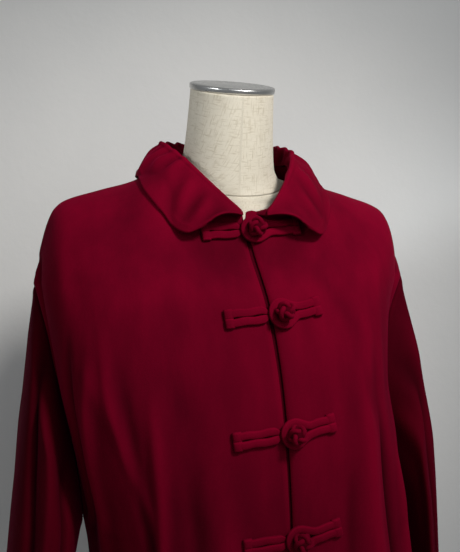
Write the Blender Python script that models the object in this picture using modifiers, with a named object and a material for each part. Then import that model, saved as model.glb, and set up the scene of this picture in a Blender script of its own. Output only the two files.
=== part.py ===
"""A velvet shirt with a turned-down collar and frog fasteners, on a limbless dress form on a stand.

Metres, +Z up, origin on the floor under the stand. The form faces -Y and the wearer's right is at -X.
The cloth is lofted from sections: each panel hangs from its shoulder or neck seam and follows the body's
section at its height, and each sleeve starts at its armhole seam and follows the sleeve's own section.
"""

import math

import bmesh
import bpy
import numpy as np
from mathutils.bvhtree import BVHTree

RIGHT, LEFT = -1, 1  # the wearer's sides
FRONT, BACK = -1, 1

# Cloth and seams
WALL = 0.0018
SEAM_GAP = 0.0004
SEAT_GAP = 0.0006

# Heights of the shirt
HEM_Z = 0.660
CUFF_Z = 0.735
UNDERARM_Z = 0.925
ARM_TOP_Z = {RIGHT: 1.191, LEFT: 1.2045}
ARM_HALF_DEPTH = 0.034

# Neckline
NECK_HALF = 0.078
NECK_FRONT = 0.100
NECK_BACK = 0.064
NECK_SIDE_Z = 1.333
NECK_FRONT_DROP = 0.067
NECK_BACK_RISE = 0.003

# How the cloth turns over the shoulder
SHOULDER_ROUND = 0.105
NECK_SHARE = 0.22  # the share of a panel's columns that end at the neckline
SECTION_POWER = 2.5
SEAM_PULL = 5

# Grids of the solids
PANEL_ROWS_ARM = 13
PANEL_ROWS_SIDE = 12
NECK_COLUMNS = 5
SHOULDER_COLUMNS = 10
SLEEVE_ROWS = 14

# The body's free-hanging sections: how far it reaches each way, where its side faces, and how far it turns
BODY = (
    ("z", "right", "left", "front", "back", "front_mid", "back_mid", "turn"),
    (
        (0.650, 0.1720, 0.2220, -0.167, 0.136, -0.012, 0.012, 90.0),
        (0.760, 0.1600, 0.2170, -0.163, 0.127, -0.013, 0.012, 90.0),
        (0.870, 0.1515, 0.2085, -0.163, 0.120, -0.018, 0.014, 90.0),
        (0.930, 0.1600, 0.1960, -0.164, 0.117, -0.032, 0.022, 94.0),
        (1.020, 0.1840, 0.1780, -0.166, 0.117, -0.056, 0.042, 103.0),
        (1.090, 0.1990, 0.1640, -0.161, 0.119, -0.066, 0.050, 107.0),
        (1.170, 0.2075, 0.1660, -0.143, 0.115, -0.066, 0.050, 107.0),
        (1.247, 0.2050, 0.1840, -0.106, 0.098, -0.058, 0.045, 104.0),
        (1.340, 0.2030, 0.2030, -0.088, 0.070, -0.040, 0.030, 100.0),
    ),
)
# Where the front opening runs, and how wide the groove between the two fronts is
OPENING = (
    ("z", "x", "groove"),
    (
        (0.650, 0.0310, 0.0034),
        (0.935, 0.0276, 0.0036),
        (0.993, 0.0246, 0.0038),
        (1.080, 0.0183, 0.0042),
        (1.125, 0.0138, 0.0046),
        (1.180, 0.0075, 0.0052),
        (1.214, 0.0033, 0.0054),
        (1.270, -0.0040, 0.0054),
    ),
)
# The shoulder seam from the neck, over the form's corner, to the top of the armhole
SHOULDER = ((0.078, 1.3330), (0.108, 1.3110), (0.150, 1.2985), (0.1915, 1.2850), (0.2030, 1.2740), (0.2144, 1.2390))
ARM_TOP_X = {RIGHT: 0.2235, LEFT: 0.2266}
# The armhole's distance from the middle plane, by its share of the way up
ARMHOLE = (
    ("share", "right", "left"),
    (
        (0.00, 0.1680, 0.1960),
        (0.28, 0.1800, 0.1890),
        (0.57, 0.1955, 0.1850),
        (0.81, 0.2085, 0.1970),
        (1.00, ARM_TOP_X[RIGHT], ARM_TOP_X[LEFT]),
    ),
)
# Sleeve sections
SLEEVE = (
    ("z", "right_out", "right_in", "left_out", "left_in", "front", "back"),
    (
        (0.735, 0.2650, 0.1960, 0.2620, 0.2220, -0.056, 0.052),
        (0.850, 0.2565, 0.1845, 0.2535, 0.2160, -0.077, 0.072),
        (0.930, 0.2500, 0.1760, 0.2490, 0.2060, -0.083, 0.079),
        (1.000, 0.2430, 0.1820, 0.2455, 0.1950, -0.079, 0.075),
        (1.070, 0.2360, 0.1960, 0.2405, 0.1920, -0.066, 0.066),
        (1.150, 0.2280, 0.2060, 0.2325, 0.1980, -0.046, 0.048),
        (1.210, 0.2230, 0.2130, 0.2255, 0.2100, -0.020, 0.022),
    ),
)
SLEEVE_POWER = 2.3
SLEEVE_ROUND = 0.055

# The largest folds of the body, each a soft ridge (or a trough, where its height is negative)
BODY_FOLDS = (
    ("side", "face", "z_high", "z_low", "w_high", "w_low", "width", "height"),
    (
        (RIGHT, FRONT, 1.14, 0.860, 0.52, 0.86, 0.055, 0.0070),
        (RIGHT, FRONT, 1.13, 0.900, 0.66, 0.95, 0.055, -0.0070),
        (RIGHT, FRONT, 1.15, 0.930, 0.45, 0.42, 0.040, 0.0040),
        (RIGHT, FRONT, 1.08, 0.640, 0.28, 0.60, 0.045, 0.0060),
        (RIGHT, FRONT, 0.98, 0.640, 0.16, 0.22, 0.070, 0.0050),
        (LEFT, FRONT, 1.12, 0.640, 0.31, 0.36, 0.070, 0.0060),
        (LEFT, FRONT, 1.06, 0.640, 0.46, 0.52, 0.050, -0.0070),
        (LEFT, FRONT, 1.00, 0.640, 0.60, 0.68, 0.060, 0.0080),
        (LEFT, FRONT, 0.90, 0.640, 0.13, 0.17, 0.060, 0.0040),
        (RIGHT, BACK, 1.16, 0.640, 0.62, 0.70, 0.070, 0.0090),
        (RIGHT, BACK, 1.10, 0.640, 0.42, 0.46, 0.060, -0.0060),
        (RIGHT, BACK, 1.02, 0.640, 0.20, 0.24, 0.070, 0.0060),
        (LEFT, BACK, 1.17, 0.640, 0.55, 0.62, 0.065, 0.0090),
        (LEFT, BACK, 1.06, 0.640, 0.34, 0.40, 0.060, -0.0060),
        (LEFT, BACK, 1.00, 0.640, 0.12, 0.17, 0.060, 0.0060),
    ),
)
# The sleeves' long folds, placed by their angle from the body side, through the front, in turns
SLEEVE_FOLDS = (
    ("side", "z_high", "z_low", "turn_high", "turn_low", "width", "height"),
    (
        (RIGHT, 1.16, 0.72, 0.250, 0.235, 0.045, 0.0060),
        (RIGHT, 1.15, 0.72, 0.345, 0.335, 0.050, -0.0070),
        (RIGHT, 1.10, 0.72, 0.640, 0.650, 0.050, 0.0070),
        (RIGHT, 1.06, 0.72, 0.740, 0.760, 0.045, -0.0070),
        (LEFT, 1.16, 0.72, 0.205, 0.215, 0.045, 0.0060),
        (LEFT, 1.15, 0.72, 0.315, 0.320, 0.045, -0.0080),
        (LEFT, 1.10, 0.72, 0.660, 0.670, 0.050, 0.0070),
        (LEFT, 1.06, 0.72, 0.765, 0.780, 0.045, -0.0070),
    ),
)
FOLD_FADE = 0.10  # the height over which a fold rises out of the flat cloth

# Collar: the fold at its top and its outer edge, from the middle of the front round to the middle of the back
COLLAR = (
    ("turn", "roll_x", "roll_y", "roll_z", "edge_x", "edge_y", "edge_z"),
    (
        (0.00, 0.0105, -0.1090, 1.2690, 0.0560, -0.1210, 1.2515),
        (0.06, 0.0150, -0.1075, 1.2740, 0.0720, -0.1170, 1.2460),
        (0.12, 0.0240, -0.1010, 1.2840, 0.0800, -0.1105, 1.2485),
        (0.25, 0.0430, -0.0820, 1.3080, 0.0930, -0.0900, 1.2640),
        (0.38, 0.0590, -0.0570, 1.3310, 0.1040, -0.0560, 1.2880),
        (0.52, 0.0700, -0.0180, 1.3500, 0.1110, -0.0080, 1.3190),
        (0.68, 0.0680, 0.0290, 1.3600, 0.0980, 0.0480, 1.3180),
        (0.84, 0.0420, 0.0600, 1.3640, 0.0590, 0.0850, 1.3090),
        (1.00, 0.0000, 0.0710, 1.3650, 0.0000, 0.0960, 1.3060),
    ),
)
COLLAR_FRONT_SHIFT = {RIGHT: 0.0007, LEFT: 0.0060}
COLLAR_FRONT_ARCH = 0.0050
COLLAR_STAND_STEPS = 3
COLLAR_FALL_STEPS = 5
COLLAR_ROLL = 0.0040
COLLAR_BULGE = 0.0050
COLLAR_CLEAR = 0.0030
COLLAR_REST = 0.0030
BODY_CENTRE = np.array([0.0, 0.0, 1.05])

# Underlap behind the front opening
UNDERLAP_WIDTH = 0.030
UNDERLAP_GAP = 0.0010
UNDERLAP_TOP_Z = 1.236
UNDERLAP_BOTTOM_Z = 0.668

# Frog fasteners: height of each ball, how far it lies from the opening, how far each side reaches from
# the opening, and each side's slope in degrees
FROGS = (
    ("z", "offset", "ball_reach", "loop_reach", "ball_slope", "loop_slope"),
    (
        (1.2500, 0.0060, 0.0520, 0.0600, 4.0, 5.0),
        (1.1595, 0.0125, 0.0500, 0.0570, 6.0, 11.0),
        (1.0375, 0.0075, 0.0575, 0.0540, 6.5, 12.0),
        (0.9272, 0.0075, 0.0520, 0.0545, 6.0, 13.0),
        (0.8160, 0.0080, 0.0530, 0.0550, 6.0, 11.0),
    ),
)
STRIP_WIDTH = 0.0190
STRIP_HEIGHT = 0.0048
CORD_WIDTH = 0.0082
CORD_HEIGHT = 0.0050
TAB_LENGTH = 0.0085
TAB_WIDTH = 0.0215
TAB_HEIGHT = 0.0060
BALL_RADIUS = 0.0110
BALL_HALF_HEIGHT = 0.0088
BALL_LIFT = 0.0142
BALL_LOBES = 4
BALL_RELIEF = 0.07
LOOP_RADIUS = 0.0122
LOOP_LIFT = 0.0030
STEM_HEIGHT = 0.87  # of the strip's height, where it meets the ball
TRIM_LIFT = 0.0009  # how far what is sewn on lies off the panel

# Dress form, as horizontal sections; tip is how far the front of a section drops and its back rises
TORSO = (
    ("z", "half", "front", "back", "power", "tip"),
    (
        (0.7000, 0.138, -0.104, 0.100, 2.2, 0.000),
        (0.7120, 0.144, -0.109, 0.105, 2.2, 0.000),
        (0.7800, 0.146, -0.112, 0.106, 2.2, 0.000),
        (0.9300, 0.116, -0.092, 0.080, 2.2, 0.000),
        (1.0900, 0.148, -0.128, 0.092, 2.3, 0.000),
        (1.1700, 0.158, -0.110, 0.094, 2.4, 0.000),
        (1.2300, 0.174, -0.086, 0.084, 2.3, 0.000),
        (1.2599, 0.1900, -0.069, 0.067, 2.0, 0.001),
        (1.2699, 0.1895, -0.063, 0.058, 1.8, 0.003),
        (1.2804, 0.1760, -0.058, 0.052, 1.6, 0.005),
        (1.2909, 0.1440, -0.056, 0.047, 1.6, 0.010),
        (1.3009, 0.1165, -0.060, 0.049, 1.7, 0.015),
        (1.3089, 0.086, -0.065, 0.049, 1.8, 0.020),
        (1.3129, 0.0600, -0.067, 0.050, 2.0, 0.024),
    ),
)
# Neck of the form: height at the side, half width, front, back and how far the front drops
NECK = (
    ("z", "half", "front", "back", "power", "tip"),
    (
        (1.3133, 0.0600, -0.0670, 0.0500, 2.0, 0.0240),
        (1.3300, 0.0530, -0.0690, 0.0420, 2.0, 0.0225),
        (1.3600, 0.0505, -0.0730, 0.0335, 2.0, 0.0200),
        (1.3960, 0.0487, -0.0795, 0.0250, 2.0, 0.0165),
        (1.4145, 0.0478, -0.0830, 0.0205, 2.0, 0.0155),
    ),
)
CAP_RADIUS = 0.0497
CAP_HEIGHT = 0.0065
CAP_EDGE = 0.0010
FORM_RING = 28
POLE_RADIUS = 0.0160
POLE_COLLAR = (0.0300, 0.0340)  # radius and height
BASE_RADIUS = 0.1850
BASE_EDGE = 0.0080
BASE_CROWN = 0.0260
ROUND_STEPS = 32


# Reading a table

def column(table, name):
    """A smooth function that passes through a named column, read by the table's first column."""
    names, rows = table
    at = np.array([row[0] for row in rows], float)
    value = np.array([row[names.index(name)] for row in rows], float)
    step = np.diff(at)
    slope = np.diff(value) / step
    tangent = np.zeros(len(at))
    tangent[0], tangent[-1] = slope[0], slope[-1]
    for i in range(1, len(at) - 1):
        if slope[i - 1] * slope[i] > 0:
            tangent[i] = 2 * slope[i - 1] * slope[i] / (slope[i - 1] + slope[i])

    def read(where):
        where = np.clip(where, at[0], at[-1])
        i = np.clip(np.searchsorted(at, where, side="right") - 1, 0, len(at) - 2)
        t = (where - at[i]) / step[i]
        return (
            (2 * t**3 - 3 * t**2 + 1) * value[i]
            + (t**3 - 2 * t**2 + t) * step[i] * tangent[i]
            + (3 * t**2 - 2 * t**3) * value[i + 1]
            + (t**3 - t**2) * step[i] * tangent[i + 1]
        )

    return read


BODY_AT = {name: column(BODY, name) for name in BODY[0][1:]}
OPENING_AT = {name: column(OPENING, name) for name in OPENING[0][1:]}
ARMHOLE_AT = {name: column(ARMHOLE, name) for name in ARMHOLE[0][1:]}
SLEEVE_AT = {name: column(SLEEVE, name) for name in SLEEVE[0][1:]}
SIDE_NAME = {RIGHT: "right", LEFT: "left"}
FACE_NAME = {FRONT: "front", BACK: "back"}


def power_of(value, power):
    """A signed power, for the rounded-rectangle sections."""
    return np.sign(value) * np.abs(value) ** (2.0 / power)


def fade(value, low, high):
    """0 below low and 1 above high, with a smooth step between."""
    t = np.clip((value - low) / (high - low), 0.0, 1.0)
    return t * t * (3 - 2 * t)


# The shirt's body

def seam_point(side, face, z):
    """x and y of the panel's outer edge at a height: the armhole above the underarm, the side seam below."""
    name = SIDE_NAME[side]
    share = np.clip((z - UNDERARM_Z) / (ARM_TOP_Z[side] - UNDERARM_Z), 0.0, 1.0)
    angle = np.arccos(1 - 2 * share)
    under = BODY_AT[name](z) + ARMHOLE_AT[name](0.0) - BODY_AT[name](UNDERARM_Z)
    x = np.where(z > UNDERARM_Z, ARMHOLE_AT[name](share), under)
    return side * x, face * ARM_HALF_DEPTH * np.sin(angle)


def middle_x(side, face, z):
    """Where a panel starts: at its side of the front opening, or at the middle of the back."""
    if face == FRONT:
        return OPENING_AT["x"](z) + side * OPENING_AT["groove"](z) / 2
    return (BODY_AT["left"](z) - BODY_AT["right"](z)) / 2


def folds(side, face, w, z):
    """How far the folds push the cloth out at a share w of the way round and a height z."""
    total = np.zeros(np.broadcast(w, z).shape)
    for fold_side, fold_face, high, low, w_high, w_low, width, height in BODY_FOLDS[1]:
        if (fold_side, fold_face) != (side, face):
            continue
        down = np.clip((high - z) / (high - low), 0.0, 1.0)
        where = w_high + (w_low - w_high) * down
        grown = fade(high - z, 0.0, FOLD_FADE) * fade(z - low, -FOLD_FADE / 4, FOLD_FADE / 4)
        total = total + height * grown * np.exp(-(((w - where) / width) ** 2))
    return total


def section(side, face, w, z):
    """x and y of the free-hanging cloth, at a share w of the way from its middle edge to its seam."""
    start = middle_x(side, face, z)
    middle = BODY_AT[FACE_NAME[face] + "_mid"](z)
    angle = w * np.radians(BODY_AT["turn"](z))
    out = side * BODY_AT[SIDE_NAME[side]](z)
    x = start + (out - start) * power_of(np.sin(angle), SECTION_POWER)
    y = middle + (BODY_AT[FACE_NAME[face]](z) - middle) * power_of(np.cos(angle), SECTION_POWER)
    push = folds(side, face, w, z) * (1 - w**SEAM_PULL)
    x = x + side * np.sin(angle) * push
    y = y + face * np.cos(angle) * push
    end = np.radians(BODY_AT["turn"](z))
    end_x = start + (out - start) * power_of(np.sin(end), SECTION_POWER)
    end_y = middle + (BODY_AT[FACE_NAME[face]](z) - middle) * power_of(np.cos(end), SECTION_POWER)
    seam_x, seam_y = seam_point(side, face, z)
    pull = w**SEAM_PULL
    return x + (seam_x - end_x) * pull, y + (seam_y - end_y) * pull


def neckline(side, face, share):
    """A point of the neckline, from the middle of the front or back (share 0) to the shoulder (share 1)."""
    angle = share * math.pi / 2
    if face == FRONT:
        start = middle_x(side, face, NECK_SIDE_Z - NECK_FRONT_DROP)
        y = -NECK_FRONT * np.cos(angle)
        z = NECK_SIDE_Z - NECK_FRONT_DROP * np.cos(angle) ** 1.9
    else:
        start = 0.0
        y = NECK_BACK * np.cos(angle)
        z = NECK_SIDE_Z + NECK_BACK_RISE * np.cos(angle)
    x = start + (side * NECK_HALF - start) * np.sin(angle)
    return np.stack(np.broadcast_arrays(x, y, z), axis=-1)


def shoulder_line(side, share):
    """A point of the shoulder seam, from the neck (share 0) to the top of the armhole (share 1)."""
    points = np.array(SHOULDER + ((ARM_TOP_X[side], ARM_TOP_Z[side]),))
    along = np.concatenate([[0], np.cumsum(np.linalg.norm(np.diff(points, axis=0), axis=1))])
    rows = tuple(zip(along / along[-1], points[:, 0], points[:, 1]))
    x = column((("share", "x", "z"), rows), "x")(share)
    z = column((("share", "x", "z"), rows), "z")(share)
    return np.stack([side * x, 0 * x, z], axis=-1)


def top_edge(side, face, u):
    """Where the panel's columns start: along the neckline, then along the shoulder seam."""
    at_neck = neckline(side, face, np.minimum(u / NECK_SHARE, 1.0))
    on_shoulder = shoulder_line(side, np.clip((u - NECK_SHARE) / (1 - NECK_SHARE), 0.0, 1.0))
    return np.where((u < NECK_SHARE)[..., None], at_neck, on_shoulder)


def panel(side, face, u, rows_arm, rows_side):
    """A half front or half back as rows of points, from its top edge to the hem."""
    top = top_edge(side, face, u)
    arm = np.arange(rows_arm + 1) / rows_arm
    arm_z = UNDERARM_Z + (ARM_TOP_Z[side] - UNDERARM_Z) * (1 + np.cos(math.pi * arm)) / 2
    side_z = UNDERARM_Z + (HEM_Z - UNDERARM_Z) * np.arange(1, rows_side + 1) / rows_side
    edge_z = np.concatenate([arm_z, side_z])
    edge_share = (ARM_TOP_Z[side] - edge_z) / (ARM_TOP_Z[side] - HEM_Z)
    even_share = (np.arange(len(edge_z)) / (len(edge_z) - 1)) ** 1.25
    follow = u**3
    share = even_share[:, None] * (1 - follow) + edge_share[:, None] * follow
    z = top[None, :, 2] - (top[None, :, 2] - HEM_Z) * share
    x, y = section(side, face, np.broadcast_to(u, z.shape), z)
    turned = SHOULDER_ROUND * np.maximum(1 - u**4, 1e-6)
    drop = np.clip((top[None, :, 2] - z) / turned, 0.0, 1.0)
    out = (1 - (1 - drop) ** 2) ** 0.62
    x = top[None, :, 0] + (x - top[None, :, 0]) * out
    y = top[None, :, 1] + (y - top[None, :, 1]) * out
    return np.stack([x, y, z], axis=-1)


def panel_columns():
    """The shares at which a panel's columns stand, closer together at the neck."""
    neck = NECK_SHARE * np.arange(NECK_COLUMNS) / NECK_COLUMNS
    shoulder = NECK_SHARE + (1 - NECK_SHARE) * np.arange(SHOULDER_COLUMNS + 1) / SHOULDER_COLUMNS
    return np.concatenate([neck, shoulder])


# The sleeves

def armhole(side, turn):
    """A point of the armhole seam: turn 0 at the underarm, 0.25 in front, 0.5 at the top, 0.75 behind."""
    angle = 2 * math.pi * turn
    share = (1 - np.cos(angle)) / 2
    z = UNDERARM_Z + (ARM_TOP_Z[side] - UNDERARM_Z) * share
    x = side * ARMHOLE_AT[SIDE_NAME[side]](share)
    return np.stack([x, -ARM_HALF_DEPTH * np.sin(angle), z], axis=-1)


def sleeve_section(side, turn, z):
    """x and y of the free-hanging sleeve."""
    name = SIDE_NAME[side]
    out, inner = SLEEVE_AT[name + "_out"](z), SLEEVE_AT[name + "_in"](z)
    front, back = SLEEVE_AT["front"](z), SLEEVE_AT["back"](z)
    angle = 2 * math.pi * turn
    push = np.zeros(np.broadcast(turn, z).shape)
    for fold_side, high, low, turn_high, turn_low, width, height in SLEEVE_FOLDS[1]:
        if fold_side == side:
            down = np.clip((high - z) / (high - low), 0.0, 1.0)
            where = turn_high + (turn_low - turn_high) * down
            grown = fade(high - z, 0.0, FOLD_FADE)
            push = push + height * grown * np.exp(-(((turn - where) / width) ** 2))
    across = -power_of(np.cos(angle), SLEEVE_POWER)
    along = -power_of(np.sin(angle), SLEEVE_POWER)
    x = side * ((out + inner) / 2 + (out - inner) / 2 * across - np.cos(angle) * push)
    y = (front + back) / 2 + (back - front) / 2 * along - np.sin(angle) * push
    return x, y


def sleeve(side, turns, rows):
    """A sleeve as closed rings of points, from the armhole seam to the cuff."""
    start = armhole(side, turns)
    share = (np.arange(rows + 1) / rows)[:, None] ** 1.15
    z = start[None, :, 2] - (start[None, :, 2] - CUFF_Z) * share
    x, y = sleeve_section(side, np.broadcast_to(turns, z.shape), z)
    drop = np.clip((start[None, :, 2] - z) / SLEEVE_ROUND, 0.0, 1.0)
    out = (1 - (1 - drop) ** 2) ** 0.7
    x = start[None, :, 0] + (x - start[None, :, 0]) * out
    y = start[None, :, 1] + (y - start[None, :, 1]) * out
    return np.stack([x, y, z], axis=-1)


# Turning grids of points into walls

def grid_normals(points, outward):
    """Unit normals of a grid, turned to the side that the outward grid of directions points to."""
    down = np.gradient(points, axis=0)
    across = np.gradient(points, axis=1)
    normal = np.cross(down, across)
    normal = normal / np.maximum(np.linalg.norm(normal, axis=-1, keepdims=True), 1e-12)
    facing = np.sign((normal * outward).sum(-1, keepdims=True))
    return normal * np.where(facing == 0, 1, facing)


def share_seam_normals(grids, normals):
    """Points that panels share at a seam get one direction, so that the walls meet edge to edge."""
    together = {}
    for points, normal in zip(grids, normals):
        for point, direction in zip(points.reshape(-1, 3), normal.reshape(-1, 3)):
            key = tuple(np.round(point, 6) + 0.0)
            together[key] = together.get(key, 0) + direction
    for points, normal in zip(grids, normals):
        flat = normal.reshape(-1, 3)
        for i, point in enumerate(points.reshape(-1, 3)):
            total = together[tuple(np.round(point, 6) + 0.0)]
            flat[i] = total / max(np.linalg.norm(total), 1e-9)


def draw_in(points, closed):
    """The grid with its open edges drawn in by half a seam gap, so that neighbours never touch."""
    moved = points.copy()
    edges = [(0, slice(None)), (-1, slice(None))]
    if not closed:
        edges += [(slice(None), 0), (slice(None), -1)]
    for row, col in edges:
        inner_row = {0: 1, -1: -2}.get(row, row) if isinstance(row, int) else row
        inner_col = {0: 1, -1: -2}.get(col, col) if isinstance(col, int) else col
        step = points[inner_row, inner_col] - points[row, col]
        length = np.maximum(np.linalg.norm(step, axis=-1, keepdims=True), 1e-9)
        moved[row, col] += step / length * np.minimum(SEAM_GAP / 2, length / 3)
    return moved


def material(name, colour, roughness, metallic=0.0):
    made = bpy.data.materials.new(name)
    made.use_nodes = True
    shader = made.node_tree.nodes["Principled BSDF"]
    shader.inputs["Base Color"].default_value = (*colour, 1)
    shader.inputs["Roughness"].default_value = roughness
    shader.inputs["Metallic"].default_value = metallic
    return made


def add_object(name, mesh, looks, collection):
    obj = bpy.data.objects.new(name, mesh)
    obj.data.materials.append(looks)
    collection.objects.link(obj)
    return obj


def mesh_of(name, points, faces):
    """A mesh whose faces all point out of the solid."""
    mesh = bpy.data.meshes.new(name)
    mesh.from_pydata([tuple(map(float, p)) for p in points], [], faces)
    shape = bmesh.new()
    shape.from_mesh(mesh)
    bmesh.ops.recalc_face_normals(shape, faces=shape.faces)
    if shape.calc_volume(signed=True) < 0:
        bmesh.ops.reverse_faces(shape, faces=shape.faces)
    shape.to_mesh(mesh)
    shape.free()
    mesh.shade_smooth()
    mesh.set_sharp_from_angle(angle=math.radians(50))
    return mesh


def wall(name, outer, inner, closed=False):
    """A mesh between an outer and an inner grid of points, with its edges closed."""
    rows, cols = outer.shape[:2]
    points = np.concatenate([outer.reshape(-1, 3), inner.reshape(-1, 3)])
    faces = []
    last = cols if closed else cols - 1
    for r in range(rows - 1):
        for c in range(last):
            a, b = r * cols + c, r * cols + (c + 1) % cols
            faces.append((a, b, b + cols, a + cols))
            faces.append(tuple(i + rows * cols for i in (a + cols, b + cols, b, a)))
    for r in (0, rows - 1):
        for c in range(last):
            a, b = r * cols + c, r * cols + (c + 1) % cols
            faces.append((a, b, b + rows * cols, a + rows * cols))
    if not closed:
        for c in (0, cols - 1):
            for r in range(rows - 1):
                a, b = r * cols + c, (r + 1) * cols + c
                faces.append((a, b, b + rows * cols, a + rows * cols))
    return mesh_of(name, points, faces)


def loft(name, rings):
    """A closed solid through rings of points, with flat ends."""
    count, size = rings.shape[:2]
    faces = [tuple(range(size)), tuple((count - 1) * size + i for i in range(size))]
    for r in range(count - 1):
        for c in range(size):
            a, b = r * size + c, r * size + (c + 1) % size
            faces.append((a, b, b + size, a + size))
    return mesh_of(name, rings.reshape(-1, 3), faces)


# Pieces of the shirt

def shirt_grids():
    """The outer points of the fronts, the back and the sleeves, in the same rows along every seam."""
    u = panel_columns()
    rows = (PANEL_ROWS_ARM, PANEL_ROWS_SIDE)
    grids = {
        "front_right": panel(RIGHT, FRONT, u, *rows),
        "front_left": panel(LEFT, FRONT, u, *rows),
    }
    back_right, back_left = panel(RIGHT, BACK, u, *rows), panel(LEFT, BACK, u, *rows)
    grids["back"] = np.concatenate([back_right[:, ::-1], back_left[:, 1:]], axis=1)
    turns = np.arange(2 * PANEL_ROWS_ARM) / (2 * PANEL_ROWS_ARM)
    for side in (RIGHT, LEFT):
        grids["sleeve_" + SIDE_NAME[side]] = sleeve(side, turns, SLEEVE_ROWS)
    return grids


def panel_normals(name, points):
    """Outward unit normals of a panel or, for a sleeve, of its closed rings."""
    if name.startswith("sleeve"):
        wrapped = np.concatenate([points[:, -1:], points, points[:, :1]], axis=1)
        hint = wrapped - points.mean(axis=1, keepdims=True)
        return grid_normals(wrapped, hint)[:, 1:-1]
    hint = points.copy()
    hint[..., 2] -= 1.05
    hint[..., 2] = np.maximum(hint[..., 2], 0.0)
    return grid_normals(points, hint)


def add_cloth(collection, velvet):
    grids = shirt_grids()
    names = list(grids)
    normals = [panel_normals(name, grids[name]) for name in names]
    share_seam_normals([grids[name] for name in names], normals)
    for name, normal in zip(names, normals):
        closed = name.startswith("sleeve")
        outer = draw_in(grids[name], closed)
        inner = draw_in(grids[name] - normal * WALL, closed)
        add_object(name, wall(name, outer, inner, closed), velvet, collection)
    return body_tree(grids)


def collar_side(side, steps):
    """Half of the collar as columns from the front edge (or the middle of the back) to the other end."""
    read = {name: column(COLLAR, name) for name in COLLAR[0][1:]}
    roll = np.stack([side * read["roll_x"](steps), read["roll_y"](steps), read["roll_z"](steps)], axis=-1)
    edge = np.stack([side * read["edge_x"](steps), read["edge_y"](steps), read["edge_z"](steps)], axis=-1)
    return roll, edge


def add_collar(tree, collection, velvet):
    """The collar stands on the neckline, folds over at its roll line and falls on the shoulders."""
    steps = np.concatenate([np.linspace(0, 0.5, NECK_COLUMNS + 1), np.linspace(0.5, 1, NECK_COLUMNS + 1)[1:]])
    halves = []
    for side in (RIGHT, LEFT):
        front = neckline(side, FRONT, np.linspace(0, 1, NECK_COLUMNS + 1))
        back = neckline(side, BACK, np.linspace(1, 0, NECK_COLUMNS + 1))[1:]
        base = np.concatenate([front, back])
        roll, edge = collar_side(side, steps)
        roll[:, 0] += COLLAR_FRONT_SHIFT[side] * (1 - steps) ** 2
        edge[:, 0] += COLLAR_FRONT_SHIFT[side] * (1 - steps) ** 2
        halves.append((base, roll, edge))
    base, roll, edge = (np.concatenate([a, b[-2::-1]]) for a, b in zip(halves[0], halves[1]))
    turn = np.concatenate([steps, steps[-2::-1]])
    centre = np.array([0.0, -0.012, 0.0])
    away = base - centre
    away[:, 2] = 0
    away /= np.linalg.norm(away, axis=1, keepdims=True)
    up = np.array([0.0, 0.0, 1.0])
    low = base - away * (WALL + COLLAR_CLEAR) + up * 0.0005
    rows = [low + (roll - up * COLLAR_ROLL - low) * s for s in np.linspace(0, 1, COLLAR_STAND_STEPS + 1)]
    fold = roll + away * COLLAR_ROLL
    rows.append(roll + away * COLLAR_ROLL * 0.4)
    for s in np.linspace(0, 1, COLLAR_FALL_STEPS + 1):
        start = fold + away * COLLAR_ROLL * 0.6 - up * COLLAR_ROLL * 0.7
        arch = COLLAR_BULGE + COLLAR_FRONT_ARCH * np.clip(1 - turn / 0.15, 0.0, 1.0)[:, None]
        bulge = (away * 0.6 + up * 0.8) * arch * math.sin(math.pi * s)
        rows.append(start + (edge - start) * s + bulge)
    outer = np.stack(rows)
    fall_rows = len(rows) - COLLAR_STAND_STEPS - 1
    outer[-COLLAR_FALL_STEPS:] = lift_off(tree, outer[-COLLAR_FALL_STEPS:], WALL + COLLAR_REST)
    hint = np.concatenate([np.repeat(-away[None], COLLAR_STAND_STEPS + 1, 0), np.repeat((away + up)[None], fall_rows, 0)])
    normal = grid_normals(outer, hint)
    inner = outer - normal * WALL
    inner[-COLLAR_FALL_STEPS:] = lift_off(tree, inner[-COLLAR_FALL_STEPS:], COLLAR_REST)
    add_object("collar", wall("collar", outer, inner), velvet, collection)


def add_underlap(tree, collection, velvet):
    """The strip behind the opening that closes the groove between the two fronts."""
    z = np.linspace(UNDERLAP_TOP_Z, UNDERLAP_BOTTOM_Z, PANEL_ROWS_ARM + PANEL_ROWS_SIDE)[:, None]
    along = UNDERLAP_WIDTH * np.array([[-0.5, -0.17, 0.17, 0.5]])
    faces = []
    for lift in (-WALL - UNDERLAP_GAP, -2 * WALL - UNDERLAP_GAP):
        faces.append(on_front(front_surface(tree), OPENING_AT["x"](z), z, along, 0.0, np.full((len(z), 4), lift)))
    add_object("underlap", wall("underlap", *faces), velvet, collection)


# Frog fasteners

def body_tree(grids):
    """The outside of the fronts and the back, with the groove of the opening bridged."""
    fronts = np.concatenate([grids["front_right"][:, ::-1], grids["front_left"]], axis=1)
    points, faces = [], []
    for grid in (fronts, grids["back"]):
        rows, cols = grid.shape[:2]
        first = len(points)
        points += [tuple(p) for p in grid.reshape(-1, 3)]
        for r in range(rows - 1):
            for c in range(cols - 1):
                a = first + r * cols + c
                faces.append((a, a + 1, a + cols + 1, a + cols))
    return BVHTree.FromPolygons(points, faces)


def lift_off(tree, points, clear):
    """The points, moved out to at least a distance from the body's cloth."""
    moved = points.copy()
    for i in np.ndindex(points.shape[:-1]):
        near, normal = tree.find_nearest(tuple(points[i]))[:2]
        near, normal = np.array(near), np.array(normal)
        if normal @ (near - BODY_CENTRE) < 0:
            normal = -normal
        gap = normal @ (points[i] - near)
        if gap < clear:
            moved[i] += normal * (clear - gap)
    return moved


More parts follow.
